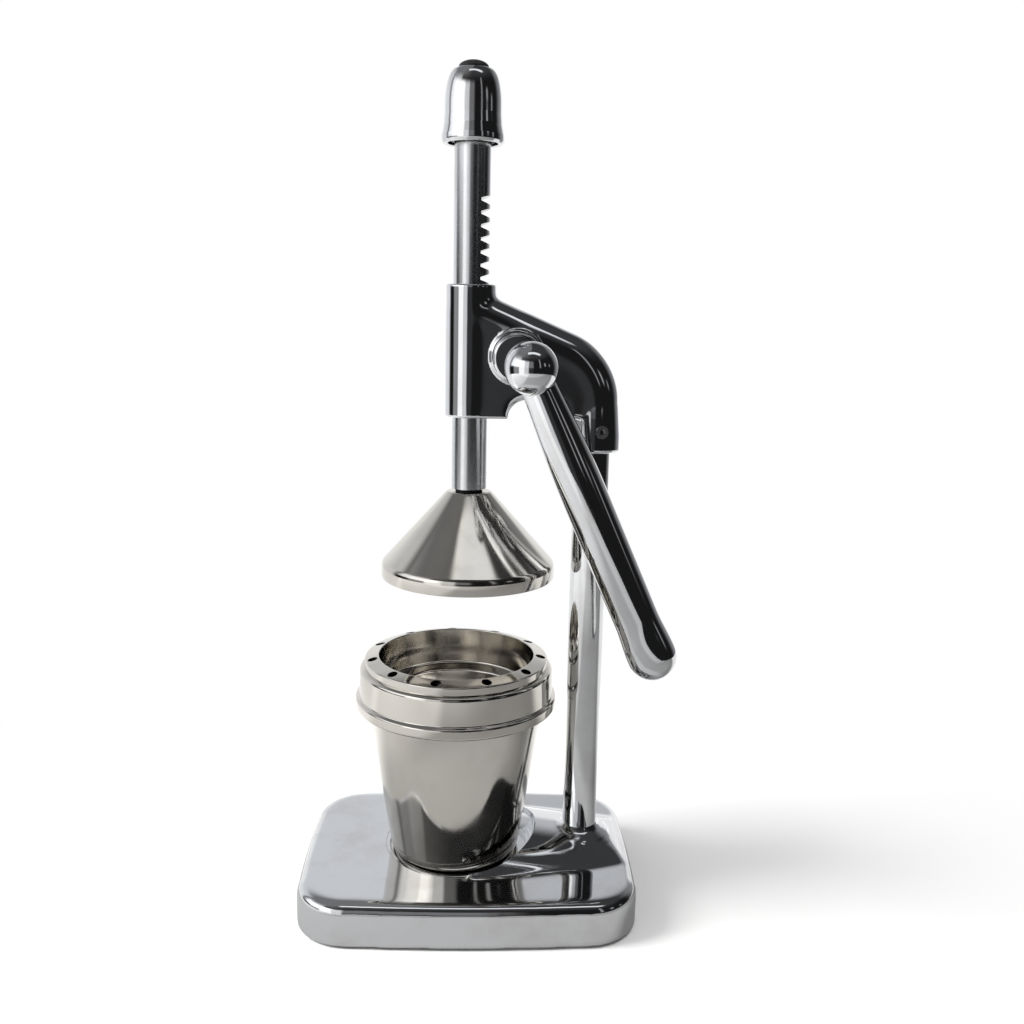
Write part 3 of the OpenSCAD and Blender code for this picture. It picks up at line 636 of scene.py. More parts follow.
@dataclass
class Base(Assembly):
    """Cast base with its hump, in mm."""

    length: float = 178.0
    width: float = 130.0
    ahead: float = 2.0
    back: float = 3.0
    edge: float = 6.0
    corner: float = 24.0
    roundness: float = 0.83
    bow_side: float = 4.0
    bow_end: float = 2.5
    skirt: float = 5.0
    hollow_top: float = 17.3
    hump_r: float = 66.0
    hump_rise: float = 8.2
    hump_fall: float = 8.0
    hump_half: float = 52.0
    hump_run: float = 200.0
    hump_start: float = 2.0
    hump_foot: float = 12.0
    hump_over: float = 30.0
    hump_lead: float = 12.0
    hump_end_r: float = 22.0
    flare: float = 5.0
    flare_sunk: float = 8.0
    seat_r: float = 38.1
    lip_r: float = 40.7
    lip_step: float = 0.3
    seat_clear: float = 12.0
    voxel: float = 0.9
    soft_from: float = 12.0
    soft_full: float = 18.0

    def side(self, start: Point, end: Point, steps: int = 24) -> list[Point]:
        """One bowed side of the plan.

        Args:
            start, end: its corners.
            steps: number of its chords.
        Returns:
            The points from start to end.
        """
        flat = start[1] == end[1]
        bow = math.copysign(self.bow_side, start[1]) if flat else math.copysign(self.bow_end, start[0])
        points: list[Point] = []
        for k in range(steps + 1):
            t = k / steps
            x = start[0] + (end[0] - start[0]) * t
            y = start[1] + (end[1] - start[1]) * t
            rise = bow * (1 - (2 * t - 1) ** 2)
            points.append((x, y + rise) if flat else (x + rise, y))
        return points

    def round_corner(self, first: Vector, corner: Vector, last: Vector, steps: int = 16) -> list[Point]:
        """Curve that takes the place of a corner.

        Args:
            first, last: its ends.
            corner: the corner.
            steps: number of its chords.
        Returns:
            The points from first to last.
        """
        points: list[Point] = []
        for k in range(steps + 1):
            t = k / steps
            shares = ((1 - t) ** 2, 2 * self.roundness * t * (1 - t), t**2)
            p = (first * shares[0] + corner * shares[1] + last * shares[2]) / sum(shares)
            points.append((p.x, p.y))
        return points

    def plan(self, inset: float) -> list[Point]:
        """Plan of the base with bowed sides and rounded corners.

        Args:
            inset: how far it is drawn in.
        Returns:
            The points of the closed plan, from the middle of the base.
        """
        x = self.length / 2 - inset - self.bow_end
        y = self.width / 2 - inset - self.bow_side
        corners = [(x, y), (-x, y), (-x, -y), (x, -y)]
        sides = [self.side(a, b) for a, b in zip(corners, corners[1:] + corners[:1])]
        r = self.corner - inset
        points: list[Point] = []
        for side, after in zip(sides, sides[1:] + sides[:1]):
            start, corner = Vector(side[0]), Vector(side[-1])
            points += [p for p in side if min((Vector(p) - corner).length, (Vector(p) - start).length) > r]
            first = corner + (Vector(side[-2]) - corner).normalized() * r
            last = corner + (Vector(after[1]) - corner).normalized() * r
            points += self.round_corner(first, corner, last)
        return points

    def at_base(self, x: float, y: float, z: float) -> Vector:
        """A point given from the middle of the base."""
        return self.sizes.at(x + self.ahead, y - self.back, z)

    def body_block(self) -> Piece:
        """The base's block with a rounded top edge.

        Returns:
            The block.
        """
        s = self.sizes
        near_top = (s.base_top - 0.1) * MM
        plan = [self.at_base(x, y, s.base_low) for x, y in self.plan(0.0)]
        obj = Bench.block(plan, UP * ((s.base_top - s.base_low) * MM))
        bpy.ops.object.mode_set(mode="EDIT")
        bpy.ops.mesh.select_all(action="DESELECT")
        bpy.ops.mesh.select_mode(type="EDGE")
        bpy.ops.object.mode_set(mode="OBJECT")
        for e in obj.data.edges:
            e.select = all(obj.data.vertices[v].co.z > near_top for v in e.vertices)
        bpy.ops.object.mode_set(mode="EDIT")
        bpy.ops.mesh.bevel(offset=self.edge * MM, segments=10, profile=0.5)
        bpy.ops.object.mode_set(mode="OBJECT")
        return obj

    def hump(self, crest: float) -> Piece:
        """The sloping round back that carries the column.

        Args:
            crest: its height at the column.
        Returns:
            The hump.
        """
        s = self.sizes
        fall = math.radians(self.hump_fall)
        middle = s.at(s.column_x, 0, crest - self.hump_r / math.cos(fall))
        run = Vector((math.cos(fall), 0, -math.sin(fall))) * (self.hump_run * MM)
        obj = Bench.bar(self.hump_r * MM, middle - run, middle + run, sides=256)
        r, foot, over = self.hump_end_r, self.hump_foot, crest + self.hump_over
        end_x = self.ahead + self.length / 2 - r
        side = [(self.hump_start, foot), (self.hump_start, over)]
        side += [(end_x - self.hump_lead, over), (end_x, crest)]
        side += arc(end_x, crest - r, r, 88, 8, 24)
        side += [(end_x + r - 1.0, foot)]
        near = [s.at(x, -self.hump_half, z) for x, z in side]
        Bench.combine(obj, Bench.block(near, FRONT * (-2 * self.hump_half * MM)), Blend.KEEP)
        return obj

    def foot_flare(self, crest: float) -> Piece:
        """The flare round the column's foot.

        Args:
            crest: height of the hump at the column.
        Returns:
            The flare.
        """
        s = self.sizes
        foot = s.column_r + self.flare
        outer = foot + 2.0
        outline = [(0.0, -self.flare_sunk), (outer, -self.flare_sunk), (outer, -1.0)]
        outline += arc(foot + 0.2, self.flare, self.flare, 270, 180, 10)
        outline += [(0.0, self.flare)]
        return Bench.turn(outline, s.at(s.column_x, 0, crest))

    def seat(self) -> Piece:
        """What is cut away for the cup's seat.

        Returns:
            The tool.
        """
        s = self.sizes
        deep = s.base_top - s.seat_z
        step, top = deep - self.lip_step, deep + self.seat_clear
        outline = rounded(
            [
                (0, 0, 0), (self.seat_r, 0, 0.5), (self.seat_r, step, 0.4), (self.lip_r, step, 0.5),
                (self.lip_r, deep + 2.0, 0), (self.lip_r + 1.5, top, 0), (0, top, 0),
            ]
        )
        return Bench.turn(outline, s.at(-s.seat_off, 0, s.seat_z), steps=192)

    def above_skirt(self, p: Vector) -> float:
        """How much a point is softened: not at all on the skirt, fully above it."""
        return ramp(p.z, self.soft_from * MM, self.soft_full * MM)

    def build(self) -> None:
        """Block, hump and flare in one casting, softened where they meet, with the seat cut in."""
        crest = self.sizes.base_top + self.hump_rise
        obj = self.body_block()
        Bench.combine(obj, self.hump(crest), Blend.ADD)
        Bench.combine(obj, self.foot_flare(crest), Blend.ADD)
        inner = [self.at_base(x, y, 0.0) for x, y in self.plan(self.skirt)]
        Bench.combine(obj, Bench.block(inner, UP * (self.hollow_top * MM)), Blend.CUT)
        Bench.remesh(obj, self.voxel * MM)
        Bench.soften(obj, passes=5, where=everywhere)
        Bench.soften(obj, passes=34, where=self.above_skirt)
        Bench.combine(obj, self.seat(), Blend.CUT)
        self.keep(obj, "base_casting", CHROME, 32)


@dataclass
class Head(Assembly):
    """Cast head on the column, in mm."""

    guide_r: float = 12.7
    guide_h: float = 66.2
    sleeve_r: float = 14.0
    sleeve_low: float = 243.64
    sleeve_deep: float = 37.0
    arm_r: float = 12.5
    arm_fall: float = 23.0
    arm_down: float = 14.7
    arm_tail: float = 12.0
    bend_r: float = 25.0
    web_t: float = 24.0
    arch_x: float = 29.0
    arch_up: float = 9.3
    arch_r: float = 10.0
    throat_r: float = 8.0
    boss_front_r: float = 13.3
    boss_rear_r: float = 10.0
    boss_out: float = 14.0
    gear_r: float = 18.5
    gear_half: float = 4.5
    slot_half: float = 4.4
    slot_near: float = 13.0
    slot_far: float = 41.6
    clamp_r: float = 3.4
    clamp_turn: float = 14.0
    clamp_up: float = 11.0
    over: float = 5.0
    voxel: float = 0.65

    def on_clamp(self, out: float) -> Vector:
        """A point on the clamp screw's line.

        Args:
            out: how far it lies out from the column's axis.
        Returns:
            The point.
        """
        s = self.sizes
        turn = math.radians(self.clamp_turn)
        return s.at(
            s.column_x + out * math.sin(turn), -out * math.cos(turn), self.sleeve_low + self.clamp_up
        )

    def web(self, arm_z: float, bend: Point) -> Piece:
        """The web between the guide, the arm's back and the sleeve.

        Args:
            arm_z: height of the arm at the press axis.
            bend: middle of the arm's bend.
        Returns:
            The web.
        """
        s = self.sizes
        arch = s.guide_low + self.arch_up
        throat_x, throat_z = s.column_x - self.sleeve_r - self.throat_r, arch - self.throat_r
        side: list[Point] = [(0.0, s.guide_low)]
        side += arc(self.arch_x, arch - self.arch_r, self.arch_r, 176, 90, 10)
        side += arc(throat_x, throat_z, self.throat_r, 90, 0, 10)
        side += [(s.column_x, throat_z)]
        side += arc(bend[0], bend[1], self.bend_r, 0, 90 - self.arm_fall, 12)
        side += [(0.0, arm_z)]
        near = [s.at(x, -self.web_t / 2, z) for x, z in side]
        return Bench.block(near, FRONT * (-self.web_t * MM))

    def back(self, arm_z: float, bend: Point, bends: int = 20, sides: int = 64) -> Piece:
        """Round back of the arm, swept along its run and bend.

        Args:
            arm_z: height of the arm at the press axis.
            bend: middle of the arm's bend.
            bends: steps of the bend.
            sides: sides of the arm's section.
        Returns:
            The back.
        """
        s = self.sizes
        fall = math.radians(self.arm_fall)
        track = [(0.0, arm_z)] + arc(bend[0], bend[1], self.bend_r, 90 - self.arm_fall, 0, bends)
        track += [(s.column_x, bend[1] - self.arm_tail)]
        turns = [2 * math.pi * k / sides for k in range(sides)]
        across = Vector((math.sin(fall), 0, math.cos(fall))) * (self.arm_r * MM)
        level = Vector((0, self.arm_r * MM, 0))
        ring = [s.at(0, 0, arm_z) + across * math.cos(t) + level * math.sin(t) for t in turns]
        obj = Bench.path(ring)
        before = 0.0
        with Bench.editing():
            bpy.ops.mesh.edge_face_add()
            for i, (x, z) in enumerate(track[1:]):
                px, pz = track[i]
                Bench.push(Vector(((x - px) * MM, 0, (z - pz) * MM)))
                turned = min(i, bends) * (90 - self.arm_fall) / bends
                if turned > before:
                    angle = -math.radians(turned - before)
                    bpy.ops.transform.rotate(value=angle, orient_axis="Y", center_override=s.at(x, 0, z))
                    before = turned
            Bench.weld()
        return obj

    def sleeve(self, bend_z: float) -> Piece:
        """The sleeve on the column, which narrows into the arm's bend.

        Args:
            bend_z: height of the middle of the bend.
        Returns:
            The sleeve.
        """
        s = self.sizes
        drop = bend_z - self.sleeve_low
        neck_r, tip_r, tip = 12.7, 10.4, drop + 9
        outline = rounded(
            [
                (0, 0, 0), (self.sleeve_r, 0, 1.2), (self.sleeve_r, drop - 17, 40.0),
                (neck_r, drop - 1, 25.0), (tip_r, tip, 0), (0, tip, 0),
            ]
        )
        return Bench.turn(outline, s.at(s.column_x, 0, self.sleeve_low))

    def casting(self) -> Piece:
        """The head's forms joined, before anything is cut.

        Returns:
            The casting.
        """
        s = self.sizes
        r, h = self.guide_r, self.guide_h
        arm_z = s.guide_low + h - self.arm_down
        fall = math.radians(self.arm_fall)
        end = (s.column_x - self.bend_r + self.bend_r * math.sin(fall), self.bend_r * math.cos(fall))
        bend = (s.column_x - self.bend_r, arm_z - end[0] * math.tan(fall) - end[1])
        guide = rounded([(0, 0, 0), (r, 0, 1.0), (r, h, 1.0), (0, h, 0)])
        obj = Bench.turn(guide, s.at(0, 0, s.guide_low))
        Bench.combine(obj, self.back(arm_z, bend), Blend.ADD)
        Bench.combine(obj, self.web(arm_z, bend), Blend.ADD)
        Bench.combine(obj, self.sleeve(bend[1]), Blend.ADD)
        middle = s.at(s.pivot_x, 0, s.pivot_z)
        out = self.boss_out
        for boss_r, way in ((self.boss_front_r, FRONT), (self.boss_rear_r, -FRONT)):
            outline = rounded([(0, 0, 0), (boss_r, 0, 0), (boss_r, out, 1.2), (0, out, 0)])
            Bench.combine(obj, Bench.turn(outline, middle, way, RIGHT), Blend.ADD)
        return obj

    def cut(self, obj: Piece) -> None:
        """Cuts the bores, the gear's pocket and the slot under it.

        Args:
            obj: the casting.
        """
        s = self.sizes
        low, high = s.guide_low - self.over, s.guide_low + self.guide_h + self.over
        foot, deep = self.sleeve_low - self.over, self.sleeve_low + self.sleeve_deep
        gear_front = s.at(s.pivot_x, -self.gear_half, s.pivot_z)
        gear_rear = s.at(s.pivot_x, self.gear_half, s.pivot_z)
        for r, a, b in (
            (s.rod_r + 0.45, s.at(0, 0, low), s.at(0, 0, high)),
            (s.column_r - 0.1, s.at(s.column_x, 0, foot), s.at(s.column_x, 0, deep)),
            (self.gear_r, gear_front, gear_rear),
            (self.clamp_r, self.on_clamp(20.0), self.on_clamp(12.6)),
        ):
            Bench.combine(obj, Bench.bar(r * MM, a, b), Blend.CUT)
        near, far, under = self.slot_near, self.slot_far, s.guide_low - 20
        slot = [(near, under), (far, under), (far, s.pivot_z), (near, s.pivot_z)]
        front = [s.at(x, -self.slot_half, z) for x, z in slot]
        Bench.combine(obj, Bench.block(front, FRONT * (-2 * self.slot_half * MM)), Blend.CUT)

    def between(self, p: Vector) -> float:
        """How much a point is softened.

        Args:
            p: the point.
        Returns:
            1 where forms meet, and 0 at the ends, bores and bosses.
        """
        s = self.sizes
        low, high = s.guide_low, s.guide_low + self.guide_h
        hub = s.at(s.pivot_x, 0, s.pivot_z)
        away = math.hypot(p.x - hub.x, p.z - hub.z) / MM
        out = abs(p.y - hub.y) / MM
        boss = max(ramp(away, 14.0, 18.0), ramp(out, 11.6, 10.6))
        ends = ramp(p.z / MM, low + 1, low + 8) * ramp(p.z / MM, high - 1, high - 5)
        bore = ramp((p.xy - s.at(0, 0, 0).xy).length / MM, 11.0, 12.2)
        pocket_side = max(ramp(out, 5.0, 7.0), ramp(p.z / MM, s.pivot_z + 20.5, s.pivot_z + 23.5))
        return boss * ends * bore * pocket_side

    def build(self) -> None:
        """The head in one casting, softened where its forms meet."""
        obj = self.casting()
        self.cut(obj)
        Bench.remesh(obj, self.voxel * MM)
        Bench.soften(obj, passes=4, where=everywhere)
        Bench.soften(obj, passes=90, where=self.between)
        self.keep(obj, "head_casting", CHROME, 60)


@dataclass
class Press(Assembly):
    """Rod, cap and cone, in mm."""

    cone_low: float = 176.6
    cone_h: float = 45.14
    cone_r: float = 45.3
    cone_slope: float = 42.0
    cone_wall: float = 1.5
    rim_r: float = 5.0
    rim_up: float = 0.5
    top_x: float = 10.0
    top_r: float = 3.0
    cap_low: float = 393.24
    cap_h: float = 35.3
    cap_waist: float = 13.95
    cap_bore: float = 9.05
    crown_low: float = 17.0
    crown_in: float = 6.45
    crown_power: float = 2.4
    plug_r: float = 7.4
    plug_stem: float = 6.0
    plug_deep: float = 5.0
    plug_rise: float = 3.4

    def cone_side(self, inset: float) -> list[Point]:
        """Side of the cone from its rim up.

        Args:
            inset: how far it is drawn in.
        Returns:
            The points.
        """
        rim_x, rim_z = self.cone_r - self.rim_r, self.rim_r + self.rim_up
        side = [(self.cone_r - inset, self.rim_up)]
        side += arc(rim_x, rim_z, self.rim_r - inset, 0, self.cone_slope, 16)
        side += arc(self.top_x, self.cone_h - self.top_r, self.top_r - inset, self.cone_slope, 90, 12)
        return side

    def cone(self) -> Piece:
        """The hollow cone.

        Returns:
            The cone.
        """
        r, h = self.cone_r, self.cone_h
        edge = [(r - 1.3, 0.05), (r - 0.75, 0.0), (r - 0.2, 0.08)]
        outline = [(0.0, h - self.cone_wall)] + self.cone_side(self.cone_wall)[::-1]
        outline += edge + self.cone_side(0.0) + [(0.0, h)]
        return Bench.turn(outline, self.sizes.at(0, 0, self.cone_low), steps=160)

    def cap(self, steps: int = 16) -> Piece:
        """The bell-shaped cap.

        Args:
            steps: chords of its crown.
        Returns:
            The cap.
        """
        waist, low, bore = self.cap_waist, self.crown_low, self.cap_bore
        bell = rounded(
            [
                (bore, 5.0, 0), (12.4, 5.0, 0.5), (12.4, 0.4, 0.3), (14.4, 0.0, 0.9), (15.4, 1.6, 1.2),
                (15.35, 4.2, 2.5), (14.4, 9.0, 5.0), (13.98, 14.0, 3.0), (waist, low, 0),
            ]
        )
        crown: list[Point] = []
        for k in range(1, steps + 1):
            t = k / steps
            drawn_in = 1 - math.sqrt(max(0.0, 1 - t**self.crown_power))
            crown.append((waist - self.crown_in * drawn_in, low + (self.cap_h - low) * t))
        outline = [(bore, 15.0)] + bell + crown + [(self.plug_stem, self.cap_h), (0.0, self.cap_h)]
        return Bench.turn(outline, self.sizes.at(0, 0, self.cap_low))

    def plug(self) -> Piece:
        """The domed plug in the cap.

        Returns:
            The plug.
        """
        stem, deep = self.plug_stem, -self.plug_deep
        dome = [(0.0, deep), (stem, deep), (stem, -0.01), (self.plug_r - 0.1, 0.0)]
        for angle in range(0, 91, 6):
            a = math.radians(angle)
            dome.append((self.plug_r * math.cos(a), 0.1 + self.plug_rise * math.sin(a)))
        return Bench.turn(dome, self.sizes.at(0, 0, self.cap_low + self.cap_h))

    def build(self) -> None:
        """Turns the cone, the cap and its plug."""
        self.keep(self.cone(), "press_cone", SATIN, 35)
        self.keep(self.cap(), "top_cap", CHROME)
        self.keep(self.plug(), "cap_plug", PLUG)


@dataclass
class Lever(Assembly):
    """Hub with its ball, and the handle, in mm."""

    hub_r: float = 12.0
    hub_l: float = 17.0
    hub_back: float = 16.3
    hub_front: float = 33.3
    neck_r: float = 7.3
    ball_r: float = 12.8
    ball_x: float = 6.0
    ball_drop: float = 4.0
    ball_ahead: float = 9.0
    hang: float = 24.2
    length: float = 158.0
    grip_r: float = 8.8
    grip_start: float = 12.0
    swell: float = 2.6
    swell_end: float = 0.42
    bulb: float = 1.3
    bulb_l: float = 22.0

    def hub(self) -> Piece:
        """The drum on the shaft, with the ball in front.

        Returns:
            The hub.
        """
        s = self.sizes
        r, deep = self.hub_r, self.hub_l
        drum = rounded([(0, 0, 0), (r, 0, 0.8), (r, deep, 1.6), (0, deep, 0)])
        obj = Bench.turn(drum, s.at(s.pivot_x, -self.hub_back, s.pivot_z), FRONT, RIGHT)
        ball_y = -self.hub_front - self.ball_ahead
        middle = s.at(s.pivot_x + self.ball_x, ball_y, s.pivot_z - self.ball_drop)
        ball = Bench.turn(arc(0.0, 0.0, self.ball_r, -90, 90, 60), middle, FRONT, RIGHT)
        root = s.at(s.pivot_x + self.ball_x / 2, -self.hub_front + 1, s.pivot_z - self.ball_drop / 2)
        Bench.combine(obj, Bench.bar(self.neck_r * MM, root, middle), Blend.ADD)
        Bench.combine(obj, ball, Blend.ADD)
        return obj

    def handle(self, swell_steps: int = 24, bulb_steps: int = 12) -> Piece:
        """The swelling handle with its bulb end.

        Args:
            swell_steps, bulb_steps: chords of the swell and of the bulb.
        Returns:
            The handle.
        """
        s = self.sizes
        full_r = self.grip_r + self.swell
        outline = [(0.0, 0.0), (self.grip_r, 0.0)]
        for k in range(swell_steps + 1):
            t = k / swell_steps
            z = self.grip_start + (self.swell_end * self.length - self.grip_start) * t
            outline.append((self.grip_r + self.swell * math.sin(math.pi / 2 * t), z))
        for k in range(bulb_steps + 1):
            t = k / bulb_steps
            wider = self.bulb * (1 - math.cos(math.pi * t)) / 2
            outline.append((full_r + wider, self.length - self.bulb_l * (1 - t)))
        outline += arc(0.0, self.length, full_r + self.bulb, 0, 90, 20)[1:]
        lean = math.radians(self.hang)
        along = Vector((math.sin(lean), 0, -math.cos(lean)))
        top = s.at(s.pivot_x + self.ball_x, -self.hub_front + 1, s.pivot_z - self.ball_drop)
        return Bench.turn(outline, top, along, FRONT)

    def build(self) -> None:
        """Models the hub and the handle."""
        self.keep(self.hub(), "lever_hub", CHROME, 35)
        self.keep(self.handle(), "lever_handle", CHROME, 35)


@dataclass(frozen=True)
class Holes:
    """A ring of upright holes, in mm, the first at start degrees."""

    count: int
    r: float
    ring: float
    start: float
    deep: float


@dataclass
class Cup(Assembly):
    """Cup, strainer collar and strainer bowl, in mm."""

    top: float = 125.8
    collar_wall: float = 1.2
    mouth_up: float = 6.2
    rim_up: float = 4.3
    vents: Holes = Holes(11, r=2.6, ring=45.1, start=-102.0, deep=9.0)
    drains: Holes = Holes(12, r=2.5, ring=23.0, start=0.0, deep=5.0)
    drain_down: float = 38.0

    def cup(self) -> Piece:
        """The tapered cup.

        Returns:
            The cup.
        """
        wall = rounded(
            [
                (0, 1.2, 0), (33.3, 1.2, 4.0), (45.6, 80.5, 6.0), (45.6, 103.2, 0.2), (46.2, 103.5, 0.3),
                (46.8, 103.2, 0.2), (46.8, 80.5, 6.0), (34.6, 0.0, 5.5), (0, 0, 0),
            ],
            steps=12,
        )
        return Bench.turn(wall, self.sizes.at(-self.sizes.cup_off, 0, self.sizes.seat_z), steps=160)

    def collar(self, ring_top: float) -> Piece:
        """The band with its bead.

        Args:
            ring_top: height of its upper face.
        Returns:
            The collar.
        """
        wall = -self.collar_wall
        band = rounded(
            [
                (43.8, wall, 0), (43.8, 0, 0.3), (51.4, 0, 2.4), (51.9, -15.0, 1.0), (53.8, -16.0, 1.6),
                (53.8, -21.2, 1.6), (51.9, -22.0, 0.5), (50.7, -22.0, 0.3), (50.4, -15.0, 0.5),
                (50.2, wall, 1.5), (43.8, wall, 0),
            ]
        )
        return Bench.turn(band, self.sizes.at(-self.sizes.cup_off, 0, ring_top), steps=160)

    def bowl(self, ring_top: float) -> Piece:
        """The stepped bowl, before it is drilled.

        Args:
            ring_top: height of the collar it stands on.
        Returns:
            The bowl.
        """
        mouth, rim = ring_top + self.mouth_up, ring_top + self.rim_up
        outline = rounded(
            [
                (0, mouth - 35, 0), (31.0, mouth - 35, 2.0), (33.5, mouth - 21.5, 2.0),
                (39.9, mouth - 20, 2.0), (41.4, mouth, 0.6), (48.8, rim, 0.9), (48.8, ring_top, 0),
                (47.8, ring_top, 0), (47.8, rim - 1.0, 0.4), (42.4, mouth - 1.8, 0.6),
                (40.9, mouth - 21, 2.0), (34.5, mouth - 22.5, 2.0), (32.0, mouth - 36, 2.5),
                (0, mouth - 36, 0),
            ]
        )
        return Bench.turn(outline, self.sizes.at(-self.sizes.cup_off, 0, 0), steps=176)

    def drill(self, obj: Piece, holes: Holes, low: float) -> None:
        """Drills a ring of holes.

        Args:
            obj: the piece.
            holes: the holes.
            low: height of their lower ends.
        """
        s = self.sizes
        for k in range(holes.count):
            a = math.radians(holes.start + 360 * k / holes.count)
            foot = s.at(holes.ring * math.cos(a) - s.cup_off, holes.ring * math.sin(a), low)
            hole = Bench.bar(holes.r * MM, foot, foot + UP * (holes.deep * MM), sides=32)
            Bench.combine(obj, hole, Blend.CUT)

    def build(self) -> None:
        """Turns the three sheet pieces and drills the bowl."""
        ring_top = self.top + self.collar_wall
        self.keep(self.cup(), "cup", SATIN)
        self.keep(self.collar(ring_top), "strainer_collar", SATIN)
        obj = self.bowl(ring_top)
        self.drill(obj, self.vents, ring_top)
        self.drill(obj, self.drains, ring_top + self.mouth_up - self.drain_down)
        self.keep(obj, "strainer_bowl", SATIN)


@dataclass(frozen=True)
class Strip:
    """An upright strip of light on the room's walls, in degrees round from the front."""

    left: float
    right: float
    soft: float
    level: float
    raised: float = 0.0

    def glow(self, around: Field, high: Field) -> Field:
        """Its light, which is more by raised where high is 1."""
        return (self.level + self.raised * high) * around.band(self.left, self.right, self.soft)


@dataclass(frozen=True)
class Pane:
    """A small lit pane, in degrees round from the front and degrees up."""

    left: float
    right: float
    low: float
    top: float
    soft: float
    soft_up: float
    level: float

    def glow(self, around: Field, up: Field) -> Field:
        """Its light."""
        across = around.band(self.left, self.right, self.soft)
        return self.level * across * up.band(self.low, self.top, self.soft_up)


@dataclass(frozen=True)
class Lamp:
    """A square lamp aimed at the press, which only lights it."""

    name: str
    place: Triple
    size: float
    power: float
    target: Triple = (0.0, 0.0, 0.1)

    def hang(self) -> None:
        """Puts the lamp in the scene."""
        data = bpy.data.lights.new(self.name, "AREA")
        data.size = self.size
        data.energy = self.power
        obj = bpy.data.objects.new(self.name, data)
        bpy.context.collection.objects.link(obj)
        aim = Vector(self.target) - Vector(self.place)
        obj.matrix_world = Matrix.Translation(self.place) @ aim.to_track_quat("-Z", "Y").to_matrix().to_4x4()
        obj.visible_glossy = False
        obj.visible_camera = False


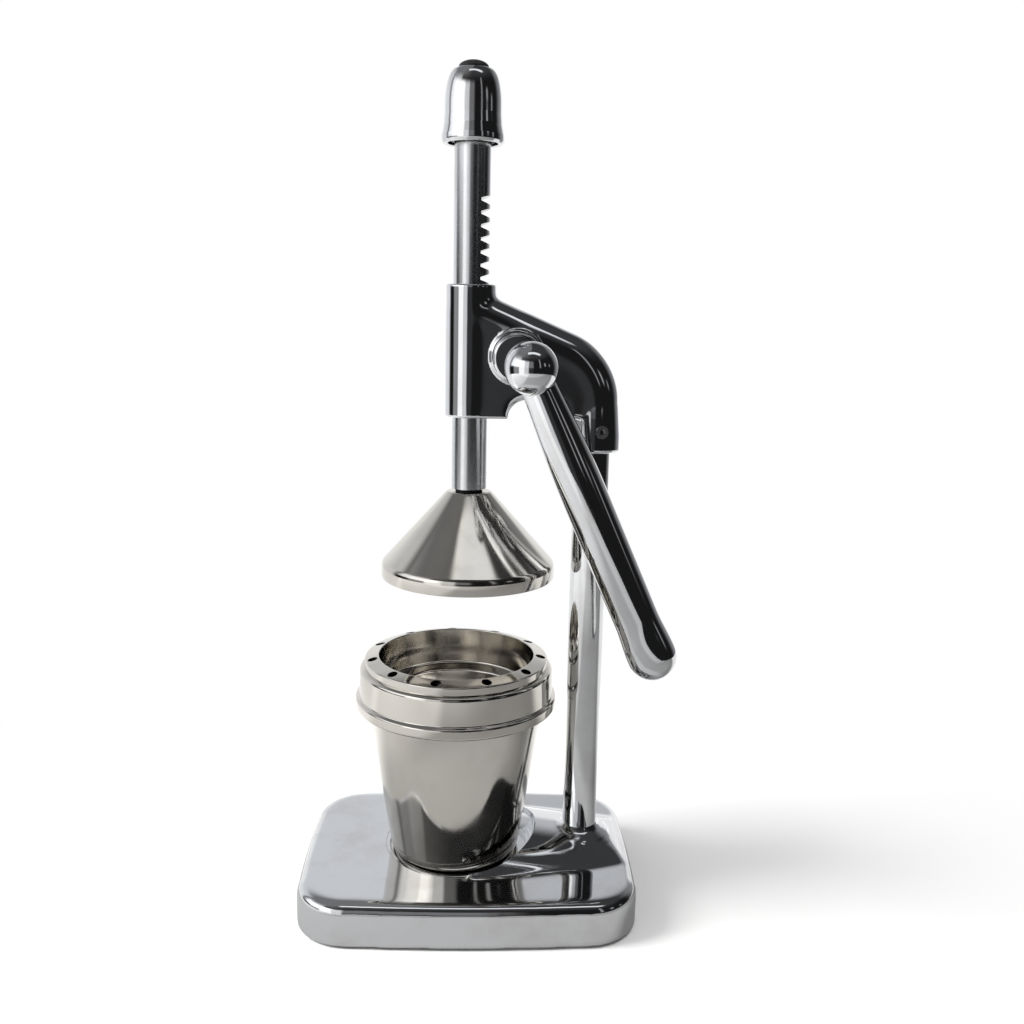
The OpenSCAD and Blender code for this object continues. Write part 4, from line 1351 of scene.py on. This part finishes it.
@dataclass
class Studio:
    """Floor, lamps, room and camera."""

    sizes: Sizes
    white: Triple = (1.0, 1.0, 1.0)
    dark: float = 0.012
    walls: tuple[Strip, ...] = (
        Strip(-84, -58, 4.0, 0.30, 0.5),
        Strip(-106, -84, 4.0, 0.0, 0.5),
    )
    window: tuple[Strip, ...] = (
        Strip(-58, -34, 2.5, 1.25),
        Strip(-34, -16, 3.0, 0.75, 0.1),
        Strip(-16, 4, 4.0, 0.03, 0.17),
    )
    panes: tuple[Pane, ...] = (
        Pane(32, 37, 6, 40, 1.5, 2.0, 0.3),
        Pane(54, 60, 11, 22, 3.0, 3.0, 0.4),
        Pane(76, 81, 8, 15, 3.0, 3.0, 0.3),
    )
    lamps: tuple[Lamp, ...] = (
        Lamp("key", (-1.2, -0.15, 0.95), 0.7, 30.0),
        Lamp("fill", (0.5, -0.3, 1.6), 1.2, 14.0),
    )
    floor_r: float = 0.95
    lens: float = 36.32
    eye: Triple = (4.19, -530.47, 316.75)
    eye_turn: float = -2.0
    eye_down: float = 11.32
    eye_roll: float = 1.164

    def floor_shade(self, graph: Graph) -> bpy.types.Node:
        """White where the background shows, and pale grey where only metal sees the floor, with painted
        light on that grey: lighter near the press, to the left and far in front.

        Args:
            graph: the floor's nodes.
        Returns:
            The shader.
        """
        seen, mirrored = graph.rays()
        x, y, _ = graph.axes(graph.place())
        away = (x * x + y * y) ** 0.5
        shown = seen + mirrored * y.step(0.02, 0.16)
        near = away.step(0.19, 0.14)
        # painted light: the floor grey that metal shows is made lighter near the press, to the left and far
        # in front
        grey_and_painted_light = 0.30 + 0.12 * near + 0.20 * y.step(-0.38, -0.6) + 0.22 * x.step(-0.1, -0.2) * (1.0 - near)
        pale = 0.55 * (1.0 - seen - mirrored) + grey_and_painted_light * (seen + mirrored - shown) + 0.95 * shown
        tint = graph.mix(pale, (0.0, 0.0, 0.0), (1.0, 0.995, 0.985))
        sockets = {"Base Color": tint, "Roughness": 0.9, "Specular IOR Level": 0.0}
        matt = graph.node("ShaderNodeBsdfPrincipled", sockets)
        white = graph.node("ShaderNodeEmission", {"Color": self.white, "Strength": 1.0})
        far = away.step(0.16, 0.42) * shown
        return graph.node("ShaderNodeMixShader", {0: far, 1: graph.out(matt), 2: graph.out(white)})

    def floor(self) -> None:
        """A pale round floor."""
        Bench.clear()
        bpy.ops.mesh.primitive_circle_add(
            vertices=128, radius=self.floor_r, fill_type="NGON", location=(0, 0, 0)
        )
        obj = bpy.context.object
        obj.name = "floor"
        made = bpy.data.materials.new("floor")
        made.use_nodes = True
        graph = Graph(made.node_tree)
        graph.finish(self.floor_shade(graph))
        obj.data.materials.append(made)

    def wall_light(self, around: Field, up: Field) -> Field:
        """Light of the walls, the window and the panes.

        Args:
            around: degrees round from the front.
            up: degrees up.
        Returns:
            The light.
        """
        high = up.step(3.0, 9.0)
        rear = 0.9 * around.step(-104, -118) + 0.3 * around.step(100, 135) + 0.4 * around.step(140, 165)
        walls = self.dark + rear * (1.0 - 0.18 * up.step(14, 28))
        for strip in self.walls:
            walls = walls + strip.glow(around, high)
        window = 0.8 * up.step(7, 10) * around.band(-100, -40, 6.0)
        for strip in self.window:
            window = window + strip.glow(around, high)
        light = walls * up.step(52, 30) + window * up.step(38, 27)
        for pane in self.panes:
            light = light + pane.glow(around, up)
        return light

    def ceiling_light(self, x: Field, y: Field, around: Field, up: Field) -> Field:
        """Light of the ceiling and of the long lamp on it.

        Args:
            x, y: parts of the direction.
            around: degrees round from the front.
            up: degrees up.
        Returns:
            The light.
        """
        plain = (0.05 + 0.16 * around.step(0, -70)) * up.step(30, 55)
        return plain + 1.05 * y.band(-0.41, -0.25, 0.02) * x.band(-0.25, 0.50, 0.05) * up.step(50, 60)

    def room(self) -> None:
        """A dark room with a window to the left, as the metal shows it, and white as the background."""
        world = bpy.data.worlds.new("room")
        bpy.context.scene.world = world
        world.use_nodes = True
        graph = Graph(world.node_tree)
        degrees = 180.0 / math.pi
        x, y, z = graph.axes(graph.out(graph.node("ShaderNodeTexCoord", {}), "Generated"))
        around = graph.out(graph.node("ShaderNodeMath", {0: x, 1: -y}, operation="ARCTAN2")) * degrees
        up = graph.out(graph.node("ShaderNodeMath", {0: z}, operation="ARCSINE")) * degrees
        level = self.wall_light(around, up) + self.ceiling_light(x, y, around, up)
        tint = graph.mix(around.band(-75, -25, 20.0), (0.97, 0.985, 1.02), self.white)
        seen, mirrored = graph.rays()
        behind = (around.step(138, 152) + around.step(-138, -152)) * up.step(24, 14)
        shown = seen + mirrored * behind
        sockets = {"Color": graph.mix(shown, tint, self.white), "Strength": level * (1.0 - shown) + shown}
        graph.finish(graph.node("ShaderNodeBackground", sockets), "ShaderNodeOutputWorld")

    def camera(self) -> None:
        """The camera of the photograph."""
        data = bpy.data.cameras.new("camera")
        data.sensor_width = 36.0
        data.lens = self.lens
        data.clip_start = 10 * MM
        obj = bpy.data.objects.new("camera", data)
        bpy.context.collection.objects.link(obj)
        obj.matrix_world = (
            Matrix.Translation(self.sizes.at(*self.eye))
            @ Matrix.Rotation(math.radians(self.eye_turn), 4, "Z")
            @ Matrix.Rotation(math.radians(90 - self.eye_down), 4, "X")
            @ Matrix.Rotation(math.radians(self.eye_roll), 4, "Z")
        )
        bpy.context.scene.camera = obj

    def build(self) -> None:
        """Sets up everything round the object."""
        self.floor()
        self.room()
        for lamp in self.lamps:
            lamp.hang()
        self.camera()
        bpy.context.scene.view_settings.view_transform = "Standard"


def main() -> None:
    """Builds the press and its setting."""
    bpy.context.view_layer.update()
    sizes = Sizes()
    groups = [
        Base(sizes, "frame"),
        Head(sizes, "frame"),
        Press(sizes, "press"),
        Lever(sizes, "lever"),
        Cup(sizes, "cup_set"),
    ]
    for group in groups:
        group.build()
    made = {node for group in groups for node in group.shown}
    for body, nodes in frame["record"]["behaviour"]["bodies"].items():
        Assembly(sizes, body).dress([n for n in nodes if n not in made])
    Studio(sizes).build()


if __name__ == "__main__":
    main()
